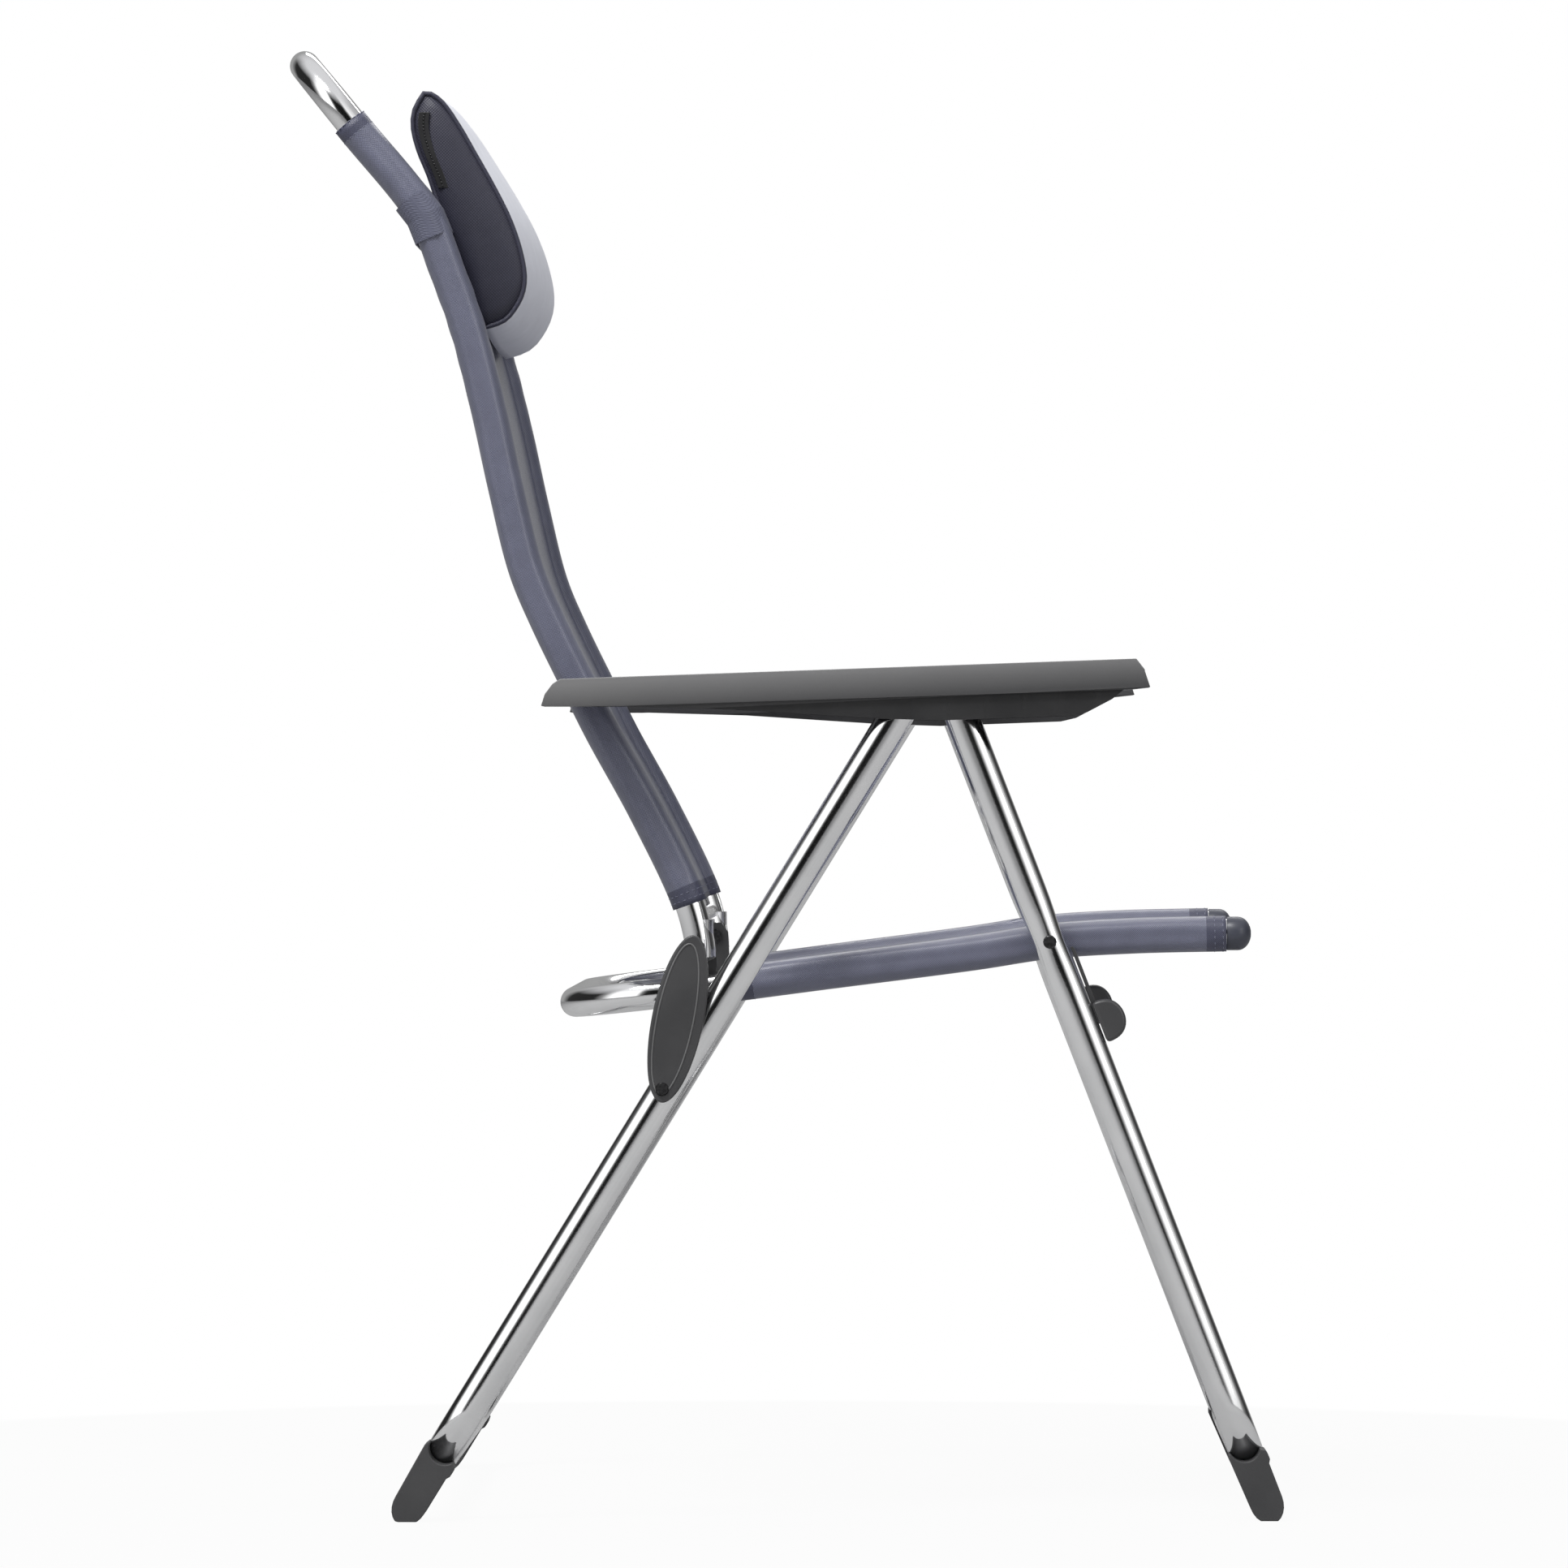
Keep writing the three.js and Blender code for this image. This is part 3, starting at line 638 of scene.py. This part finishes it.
# ---- tubes ------------------------------------------------------------------------------
def leg_path(top, bar, half_width):
    """Down the right leg, across the floor bar and up the left leg."""
    reach = side_direction(bar, top) * LEG_TOP_REACH
    ends = [at_y(top, side * half_width) + reach for side in (-1, 1)]
    corners = [at_y(bar, side * half_width) for side in (-1, 1)]
    left_to_bend = 5
    straight = [ends[0].lerp(corners[0], k / LEG_STEPS) for k in range(LEG_STEPS - left_to_bend)]
    bends = round_corner(ends[0], corners[0], corners[1], LEG_BEND)
    bends += round_corner(corners[0], corners[1], ends[1], LEG_BEND)
    return straight + bends + [at_y(p, -p.y) for p in reversed(straight)]


def leg_tube(node, top, bar, half_width, body, rivet=None):
    """An oval leg frame. The tube is pinched a little round a rivet."""
    def pinch(p):
        if not rivet:
            return 1, 1
        near = math.exp(-(((p - at_y(rivet, p.y)).length / RIVET_DIMPLE) ** 2))
        return 1 - 0.12 * near, 1 - 0.08 * near

    normal = side_direction(top, bar).cross(Vector((0, 1, 0))).normalized()
    path = leg_path(top, bar, half_width)
    mesh = tube_mesh(node + "_smooth", path, LEG_HALF_ALONG, LEG_HALF_ACROSS, normal, pinch)
    obj = new_object(node + "_smooth", mesh, ALUMINIUM)
    finish_piece(sharpen(obj), body, "aluminium_tube", node)


def loop_tube(node, line, bend, body):
    """A round tube: two rails in the side planes, joined by a bent cross run at the line's end."""
    clear = 4
    rail = [p for p in line if (p - line[-1]).length > bend + clear]
    right = [at_y(p, -RAIL_Y) for p in rail]
    left = [at_y(p, RAIL_Y) for p in reversed(rail)]
    corners = [at_y(line[-1], side * RAIL_Y) for side in (-1, 1)]
    arcs = round_corner(right[-1], corners[0], corners[1], bend, RAIL_BEND_STEPS)
    arcs += round_corner(corners[0], corners[1], left[0], bend, RAIL_BEND_STEPS)
    mesh = tube_mesh(node + "_smooth", right + arcs + left, RAIL_R, RAIL_R, Vector((0, 1, 0)))
    obj = new_object(node + "_smooth", mesh, ALUMINIUM)
    finish_piece(sharpen(obj), body, "aluminium_tube", node)


def cross_tube():
    """A thin tube between the backrest's rails."""
    node = "back_cross_tube"
    gap = 0.3
    ends = [at_y(CROSS_TUBE, side * (RAIL_Y - RAIL_R - gap)) for side in (-1, 1)]
    mesh = tube_mesh(node + "_smooth", ends, CROSS_TUBE_R, CROSS_TUBE_R, Vector((1, 0, 0)))
    obj = new_object(node + "_smooth", mesh, ALUMINIUM)
    finish_piece(sharpen(obj), "backrest", "aluminium_tube", node)


# ---- slings -----------------------------------------------------------------------------
def sleeve_section():
    """Half of a sling's cross-section: (across, in front), from the loose edge to the middle.

    The cloth starts on the back of the sheet, goes round the rail and comes back as the sheet.
    """
    seam = RAIL_Y - SLEEVE_SEAM
    back = SHEET_RISE - CLOTH - 0.5
    section = [(seam - 12, back), (seam - 4, back), (seam + 3, back)]
    for k in range(SLEEVE_STEPS + 1):
        turn = math.radians(200 + 318 * k / SLEEVE_STEPS)
        section.append((RAIL_Y + SLEEVE_R * math.cos(turn), SLEEVE_R * math.sin(turn)))
    section += [(seam + 4, SHEET_RISE + 0.6), (seam, SHEET_RISE - 0.1),
                (seam - 4, SHEET_RISE + 0.3)]
    section += [(RAIL_Y * tenths / 10, SHEET_RISE) for tenths in range(8, -1, -1)]
    return section


def folds(along, around, length, side):
    """How far the sleeve's cloth stands off the rail: a long valley between two ridges.

    The place along the sling and its length are in metres, and the place around is an angle.
    """
    drift = around + 0.16 * math.sin(along * 8.0 + side)
    valley = -0.95 * math.exp(-((drift - 0.1) / 0.26) ** 2)
    ridges = 0.75 * math.exp(-((abs(drift - 0.1) - 0.62) / 0.26) ** 2)
    rear = math.exp(-((abs(around) - 2.2) / 0.8) ** 2)
    puckers = 0.55 * rear * math.sin(along * 230) * math.exp(-((along - FOLD_AT) / 0.05) ** 2)
    ends = min(1.0, min(along, length - along) / 0.03)
    return (valley + ridges + puckers) * max(0.0, ends)


def relaxed(y, v, along, length):
    """A point of the section, with the sleeve's folds or the sheet's sag added."""
    side = 1 if y > 0 else -1
    dy = abs(y) - RAIL_Y
    radius = math.hypot(dy, v)
    sheet_half = RAIL_Y - SAG_MARGIN
    if abs(radius - SLEEVE_R) < 1e-6:
        swell = 1 + folds(along, math.atan2(v, dy), length, side) / radius
        return side * (RAIL_Y + dy * swell), v * swell
    if abs(y) < sheet_half:
        return y, v - SHEET_SAG * (1 - (abs(y) / sheet_half) ** 2)
    return y, v


def facing(line, i):
    """The way a sling faces at one point of its line: forward and up."""
    before = line[max(i - 1, 0)]
    after = line[min(i + 1, len(line) - 1)]
    front = (after - before).normalized().cross(Vector((0, 1, 0))).normalized()
    return front if front.x + front.z > 0 else -front


def on_cloth(point, centre, y):
    """A thread's place: moved from the middle of the cloth to its outside."""
    if abs(y) > RAIL_Y - RAIL_R - 2:
        out = (point - at_y(centre, math.copysign(RAIL_Y, y))).normalized()
    elif centre.z > BACK_SLING_Z[0] - 1:
        out = BACK_NORMAL
    else:
        out = Vector((0, 0, 1))
    return point + out * (CLOTH / 2 + 0.1)


def thicken(obj):
    """Gives a sheet the thickness of the cloth."""
    solid = obj.modifiers.new("Thickness", "SOLIDIFY")
    solid.thickness = mm(CLOTH)
    solid.offset = 0
    solid.use_even_offset = True
    apply_modifiers(obj)


def hem_stitches(name, line, section, verts, body):
    """Two rows of stitches across each end of a sling, along the edges of its hem."""
    along = distances(line)
    rows = []
    for k, inset in enumerate((STITCH_INSET, HEM - STITCH_INSET)):
        for end in (0, -1):
            at = min(range(len(line)), key=lambda i: abs(abs(along[end] - along[i]) - inset))
            first = at * len(section)
            path = [on_cloth(verts[first + j], line[at], y) for j, (y, _) in enumerate(section)]
            row = stitches(f"{name}_stitches_{k}_{end % 2}", path, THREAD)
            rows.append(finish_piece(row, body, "sling_fabric"))
    return rows


def sling(name, line, body, node):
    """A stretched sling with a sleeve round each rail, as one sheet of cloth."""
    half = sleeve_section()
    section = half + [(-y, v) for y, v in reversed(half[:-1])]
    width = len(section)
    steps = (math.dist(a, b) for a, b in zip(section, section[1:]))
    across = list(accumulate(steps, initial=0.0))
    along = distances(line)
    verts = []
    coords = []
    for i, p in enumerate(line):
        front = facing(line, i)
        for (y, v), u in zip(section, across):
            new_y, new_v = relaxed(y, v, mm(along[i]), mm(along[-1]))
            verts.append(at_y(p, new_y) + front * new_v)
            coords.append((mm(u), mm(along[i])))
    faces = [(a, a + 1, a + width + 1, a + width) for i in range(len(line) - 1)
             for a in range(i * width, (i + 1) * width - 1)]
    mesh = mesh_from(name, verts, faces)
    layer = mesh.uv_layers.new(name="Cloth")
    for loop in mesh.loops:
        layer.data[loop.index].uv = coords[loop.vertex_index]
    obj = new_object(name, mesh, SLING)
    mesh.materials.append(HEM_CLOTH)
    for poly in mesh.polygons:
        start = along[poly.vertices[0] // width]
        if start < HEM - 1 or start > along[-1] - HEM - 1:
            poly.material_index = 1
    thicken(obj)
    finish_piece(obj, body, "sling_fabric", node)
    rows = hem_stitches(name, line, section, verts, body)


# ---- pillow -----------------------------------------------------------------------------
def pillow_outline(crown):
    """The pillow's side view. The crown swells its front, as stuffing does."""
    rear = smooth_line(PILLOW_REAR, PILLOW_REAR_STEPS)
    front = smooth_line(PILLOW_FRONT, PILLOW_FRONT_STEPS)
    swollen = []
    for k, p in enumerate(front):
        share = k / PILLOW_FRONT_STEPS
        before = front[max(k - 1, 0)]
        after = front[min(k + 1, PILLOW_FRONT_STEPS)]
        out = Vector((0, 1, 0)).cross(after - before).normalized()
        swollen.append(p + out * (crown * (1 - share) ** 0.35 * min(1.0, 0.9 + share)))
    return rear[:-1] + swollen[:-1]


def pillow():
    """One stuffed body with dark mesh gussets, and a pale panel over its front."""
    right = [inset - PILLOW_HALF for inset in PILLOW_RINGS]
    rings = []
    for y in right + [-y for y in reversed(right[:-1])]:
        crown = PILLOW_CROWN * (1 - (abs(y) / PILLOW_HALF) ** 3)
        rings.append([at_y(p, y) for p in pillow_outline(crown)])
    edge = rings[0]
    count = len(edge)
    middle = sum(edge, Vector()) / count
    caps = [[[at_y(middle.lerp(p, scale), sign * (PILLOW_HALF + bulge)) for p in edge]
             for scale, bulge in PILLOW_ENDS] for sign in (-1, 1)]
    mesh = skin("pillow_stuffed", caps[0] + rings + caps[1][::-1])
    panel_rings = range(len(PILLOW_ENDS), len(PILLOW_ENDS) + len(rings) - 1)
    for poly in mesh.polygons:
        ring, k = divmod(poly.index, count)
        on_panel = ring in panel_rings and k >= PILLOW_REAR_STEPS - 1
        poly.material_index = 1 if on_panel else 0
    obj = new_object("pillow_stuffed", mesh, GUSSET)
    mesh.materials.append(PANEL)
    finish_piece(obj, "backrest", "pillow_fabric", "head_pillow")
    for side, sign in SIDES:
        loop = [at_y(p, sign * (PILLOW_HALF + PIPING_PROUD)) for p in pillow_outline(0)]
        piping = cord("pillow_piping_" + side, loop, PIPING_R, PIPING)
        finish_piece(piping, "backrest", "pillow_fabric")


def zipper():
    """A short zip on the right gusset, beside its rear seam."""
    seam = smooth_line(PILLOW_REAR, ZIP_STEPS)
    rear = [(p.x, p.z - 1) for p in seam if ZIP_Z[0] < p.z < ZIP_Z[1]]
    inner, outer = ([(x + ahead, z) for x, z in rear] for ahead in ZIP_TAPE)
    faces = [PILLOW_HALF + proud for proud in ZIP_PROUD]
    tape = slab("pillow_zip_tape", inner + outer[::-1], faces, -1, BLACK_PLASTIC, bevel=0.4)
    finish_piece(tape, "backrest", "pillow_fabric")
    row = [Vector((x + ZIP_TEETH, -(faces[1] + 0.2), z)) for x, z in rear]
    teeth = stitches("pillow_zip_teeth", row, STEEL, length=1.4, gap=1.2, radius=0.7)
    finish_piece(teeth, "backrest", "pillow_fabric")


# ---- small hardware ---------------------------------------------------------------------
def plate_outline(half_across, half_along, shift=0.0):
    """The tilted oval of a side link plate."""
    steps = 72
    lean, stand = math.sin(PLATE_TILT), math.cos(PLATE_TILT)
    out = []
    for k in range(steps):
        t = 2 * math.pi * k / steps
        x, z = half_across * math.cos(t), half_along * math.sin(t)
        out.append((PLATE_MIDDLE[0] + shift + x * stand + z * lean,
                    PLATE_MIDDLE[1] - x * lean + z * stand))
    return out


def link_plates():
    """Oval plates with a bead just inside the edge."""
    for side, sign in SIDES:
        plate = slab("link_plate_moulded_" + side, plate_outline(*PLATE_HALF), PLATE_Y, sign,
                     DARK_PLASTIC, bevel=1.8, segments=4)
        finish_piece(plate, "side_links", "dark_plastic", "link_plate_" + side)
        bead = [at_y(p, sign * PLATE_Y[1]) for p in plate_outline(*RIM_HALF, RIM_SHIFT)]
        rim = cord("plate_rim_" + side, bead, RIM_R, RIM_PLASTIC)
        finish_piece(rim, "side_links", "dark_plastic")


def hinge_links():
    """Thin plates under the armrests, which join the tops of the legs."""
    for side, sign in SIDES:
        link = slab("hinge_link_plate_" + side, HINGE_LINK, HINGE_LINK_Y, sign, BLACK_PLASTIC,
                    bevel=0.3)
        finish_piece(link, "leg_links", "dark_plastic", "hinge_link_" + side)


def boot_outline(top, bar):
    """A boot's side view: a flange with a notch round the tube, a shank and a blunt toe.

    It is drawn as (across the leg, down the leg) from the floor bar.
    """
    down = side_direction(top, bar)
    across = Vector((-down.z, 0, down.x))
    floor_at = bar[1] / -down.z
    local = [(-BOOT_HALF, BOOT_TOP + 4), (-BOOT_HALF + 1.4, BOOT_TOP)]
    for k in range(15):
        t = 0.2 + (math.pi - 0.75) * k / 14
        local.append((-BOOT_NOTCH * math.cos(t), BOOT_NOTCH * (math.sin(t) - 1)))
    local += [(BOOT_HALF - 1, -4), (BOOT_HALF, 0), (BOOT_HALF, 4), (BOOT_SHANK_HALF, 7)]
    for k in range(13):
        t = math.pi * k / 12
        local.append((BOOT_SHANK_HALF * math.cos(t),
                      floor_at - BOOT_TOE + BOOT_TOE_REACH * math.sin(t)))
    points = [at_y(bar, 0) + across * u + down * w for u, w in local]
    return [(p.x, max(p.z, 0.0)) for p in points]


def boots(part, top, bar, leg_y, body):
    """The pair of moulded boots on one leg frame, cut off flat at the floor."""
    ys = (leg_y - BOOT_REACH, leg_y + BOOT_PROUD)
    for side, sign in SIDES:
        boot = slab(f"{part}_boot_{side}", boot_outline(top, bar), ys, sign, FOOT_RUBBER,
                    bevel=2.4, segments=4)
        finish_piece(boot, body, "foot_rubber", f"{part}_{side}")


def bumpers():
    """A strip along the front of each front leg, with a D-shaped stop at its lower end."""
    down = side_direction(FRONT_TOP, FRONT_BAR)
    ahead = Vector((-down.z, 0, down.x))
    origin = at_y(SEAT_PIVOT, 0) + ahead * (LEG_HALF_ALONG + 0.3)
    start, end = STRIP_DOWN
    strip = [(start, 0), (start, 2), (start + 3, 3), (end, 3), (end, 0)]
    stop = []
    for k in range(25):
        t = math.pi * k / 24
        stop.append((BUMPER_DOWN - BUMPER_HALF * math.cos(t),
                     max(0.0, BUMPER_AHEAD * math.sin(t) ** 0.7)))
    for side, sign in SIDES:
        for name, local, ys, bevel, nodes in (("strip", strip, STRIP_Y, 0.4, []),
                                              ("stop", stop, BUMPER_Y, 3.0,
                                               ["leg_bumper_" + side])):
            outline = [origin + down * w + ahead * u for w, u in local]
            piece = slab(f"leg_bumper_{name}_{side}", outline, ys, sign, DARK_PLASTIC, bevel)
            finish_piece(piece, "front_legs", "dark_plastic", *nodes)


def end_caps():
    """Domed caps on the open front ends of the seat rails."""
    profile = [(0.0, CAP_R - 0.4), (0.6, CAP_R), (CAP_BAND, CAP_R)]
    for k in range(1, CAP_STEPS):
        t = math.pi / 2 * k / CAP_STEPS
        profile.append((CAP_BAND + (CAP_END - CAP_START - CAP_BAND) * math.sin(t),
                        CAP_R * math.cos(t)))
    z = SEAT_LINE[-1][1]
    turns = [2 * math.pi * k / CAP_SIDES for k in range(CAP_SIDES)]
    for side, sign in SIDES:
        rings = [[(CAP_START + depth, sign * RAIL_Y + r * math.cos(t), z + r * math.sin(t))
                  for t in turns] for depth, r in profile]
        name = "seat_cap_dome_" + side
        cap = sharpen(new_object(name, skin(name, rings), CAP_PLASTIC), 50)
        finish_piece(cap, "seat", "dark_plastic", "seat_end_cap_" + side)


def is_top_outer_edge(edge):
    """Whether an armrest edge runs between its top and one of its long sides."""
    def on_top(v):
        outside = min(abs(abs(v.co.y) - mm(y)) for y in ARM_Y) < mm(0.2)
        return outside and v.co.z > mm(ARM_LINE_Z + 6) + ARM_LINE_SLOPE * v.co.x

    return (all(on_top(v) for v in edge.verts) and len(edge.link_faces) == 2
            and edge.calc_face_angle() > math.radians(5))


def armrests():
    """The CAD armrests with rounded, smoothly shaded top edges."""
    for side, _ in SIDES:
        mesh = frame["nodes"]["armrest_" + side].data.copy()
        bm = bmesh.new()
        bm.from_mesh(mesh)
        bmesh.ops.remove_doubles(bm, verts=bm.verts, dist=1e-6)
        bmesh.ops.dissolve_limit(bm, angle_limit=math.radians(1), verts=bm.verts, edges=bm.edges)
        edges = [edge for edge in bm.edges if is_top_outer_edge(edge)]
        bmesh.ops.bevel(bm, geom=edges, offset=mm(ARM_ROUND), segments=5, profile=0.5,
                        affect="EDGES", clamp_overlap=True)
        bm.to_mesh(mesh)
        bm.free()
        mesh.materials.clear()
        obj = new_object("armrest_moulded_" + side, mesh, ARM_PLASTIC)
        finish_piece(sharpen(obj, 30), "armrests", "arm_plastic", "armrest_" + side)


def finish_nodes():
    """Materials for the CAD pieces, and slightly rounded edges for those that still show."""
    slots = {part["node"]: part["material_slot"] for part in frame["record"]["subparts"]}
    for node, obj in frame["nodes"].items():
        obj.data.materials.clear()
        obj.data.materials.append(SLOT_MATERIALS[slots[node]])
    for name, width in SOFT_EDGES.items():
        for side, _ in SIDES:
            bevelled(frame["nodes"][name + "_" + side], width, harden=False)


# ---- studio -----------------------------------------------------------------------------
def make_camera():
    data = bpy.data.cameras.new("Camera")
    data.sensor_width = SENSOR
    data.lens = SENSOR * (AIM_AT.y - CAMERA_AT.y) / NEAR_SPAN
    data.clip_end = 60
    camera = bpy.data.objects.new("Camera", data)
    camera.location = CAMERA_AT
    camera.rotation_euler = (AIM_AT - CAMERA_AT).to_track_quat("-Z", "Y").to_euler()
    bpy.context.scene.collection.objects.link(camera)
    bpy.context.scene.camera = camera


def make_world():
    """A white studio with dark bands that polished tube picks up. The camera sees plain white."""
    world = bpy.data.worlds.new("Studio")
    bpy.context.scene.world = world
    world.use_nodes = True
    world.node_tree.nodes.clear()
    g = Graph(world.node_tree)
    x, y, z = g.split(g.node("ShaderNodeTexCoord").outputs["Generated"])
    bearing = g.math("ARCTAN2", x, g.math("MULTIPLY", y, -1.0))
    bearing = g.math("ADD", g.math("DIVIDE", bearing, 2 * math.pi), 0.5)
    around = g.ramp(bearing, greys(*STUDIO_BANDS))
    overhead = g.ramp(z, greys((0.45, 0.0), (0.85, 1.0)))
    lit = g.node("ShaderNodeBackground", Strength=0.62)
    g.link(g.mix(overhead, around, (1.15, 1.15, 1.17)), lit.inputs["Color"])
    plain = g.node("ShaderNodeBackground", Color=(1, 1, 1, 1), Strength=1.0)
    out = g.node("ShaderNodeOutputWorld")
    g.link(g.for_camera(1.0, lit, plain), out.inputs[0])


def make_floor():
    """A pale floor that runs into the white backdrop for the camera."""
    corners = [(x * FLOOR_HALF, y * FLOOR_HALF, 0) for x, y in ((-1, -1), (1, -1), (1, 1), (-1, 1))]
    mesh = bpy.data.meshes.new("Floor")
    mesh.from_pydata(corners, [], [(0, 1, 2, 3)])
    s = Shader("Pale floor")
    s.feed(s.ramp(s.noise(3, 2), greys((0.3, 0.40), (0.7, 0.43))), "Base Color")
    s.set(Roughness=0.9, Specular_IOR_Level=0.1)
    x, y, _ = s.split(s.coords())
    square = s.math("ADD", s.math("MULTIPLY", x, x), s.math("MULTIPLY", y, y))
    far = s.math("MULTIPLY", s.math("SUBTRACT", s.math("SQRT", square), 0.3), 1.2)
    far.node.use_clamp = True
    white = s.node("ShaderNodeEmission", Color=(1, 1, 1, 1), Strength=1.0)
    surface = s.for_camera(s.math("MAXIMUM", far, 0.95), s.bsdf, white)
    s.link(surface, s.tree.nodes["Material Output"].inputs["Surface"])
    floor = new_object("Floor", mesh, s.material)


def area_light(name, location, size, power):
    """A soft rectangular light, aimed at the middle of the chair."""
    data = bpy.data.lights.new(name, "AREA")
    data.shape = "RECTANGLE"
    data.size, data.size_y = size
    data.energy = power
    obj = bpy.data.objects.new(name, data)
    obj.location = location
    aim = Vector((0, 0, 0.6)) - Vector(location)
    obj.rotation_euler = aim.to_track_quat("-Z", "Y").to_euler()
    bpy.context.scene.collection.objects.link(obj)


# ---- build ------------------------------------------------------------------------------
make_camera()
make_world()
make_floor()
area_light("Key", (-1.4, -2.0, 4.2), (1.6, 1.0), 140)
area_light("Fill", (2.6, -3.0, 1.8), (1.0, 2.0), 16)
area_light("Rim", (0.6, 3.0, 3.2), (2.6, 0.8), 30)
bpy.context.scene.view_settings.view_transform = "Standard"

seat_line = smooth_line(SEAT_LINE, SEAT_STEPS)
back_line = smooth_line(BACK_LINE, BACK_STEPS)
loop_tube("seat_tube", seat_line[::-1], SEAT_BEND, "seat")
loop_tube("back_tube", back_line, BACK_BEND, "backrest")
cross_tube()
leg_tube("front_leg_tube", FRONT_TOP, FRONT_BAR, FRONT_LEG_Y, "front_legs", SEAT_PIVOT)
leg_tube("rear_leg_tube", REAR_TOP, REAR_BAR, REAR_LEG_Y, "rear_legs")
sling("seat_sling_cloth", part_of(seat_line, 0, *SEAT_SLING_X), "seat", "seat_sling")
sling("back_sling_cloth", part_of(back_line, 2, *BACK_SLING_Z), "backrest", "back_sling")
pillow()
zipper()
link_plates()
hinge_links()
armrests()
bumpers()
boots("front_foot", FRONT_TOP, FRONT_BAR, FRONT_LEG_Y, "front_legs")
boots("rear_foot", REAR_TOP, REAR_BAR, REAR_LEG_Y, "rear_legs")
end_caps()
finish_nodes()
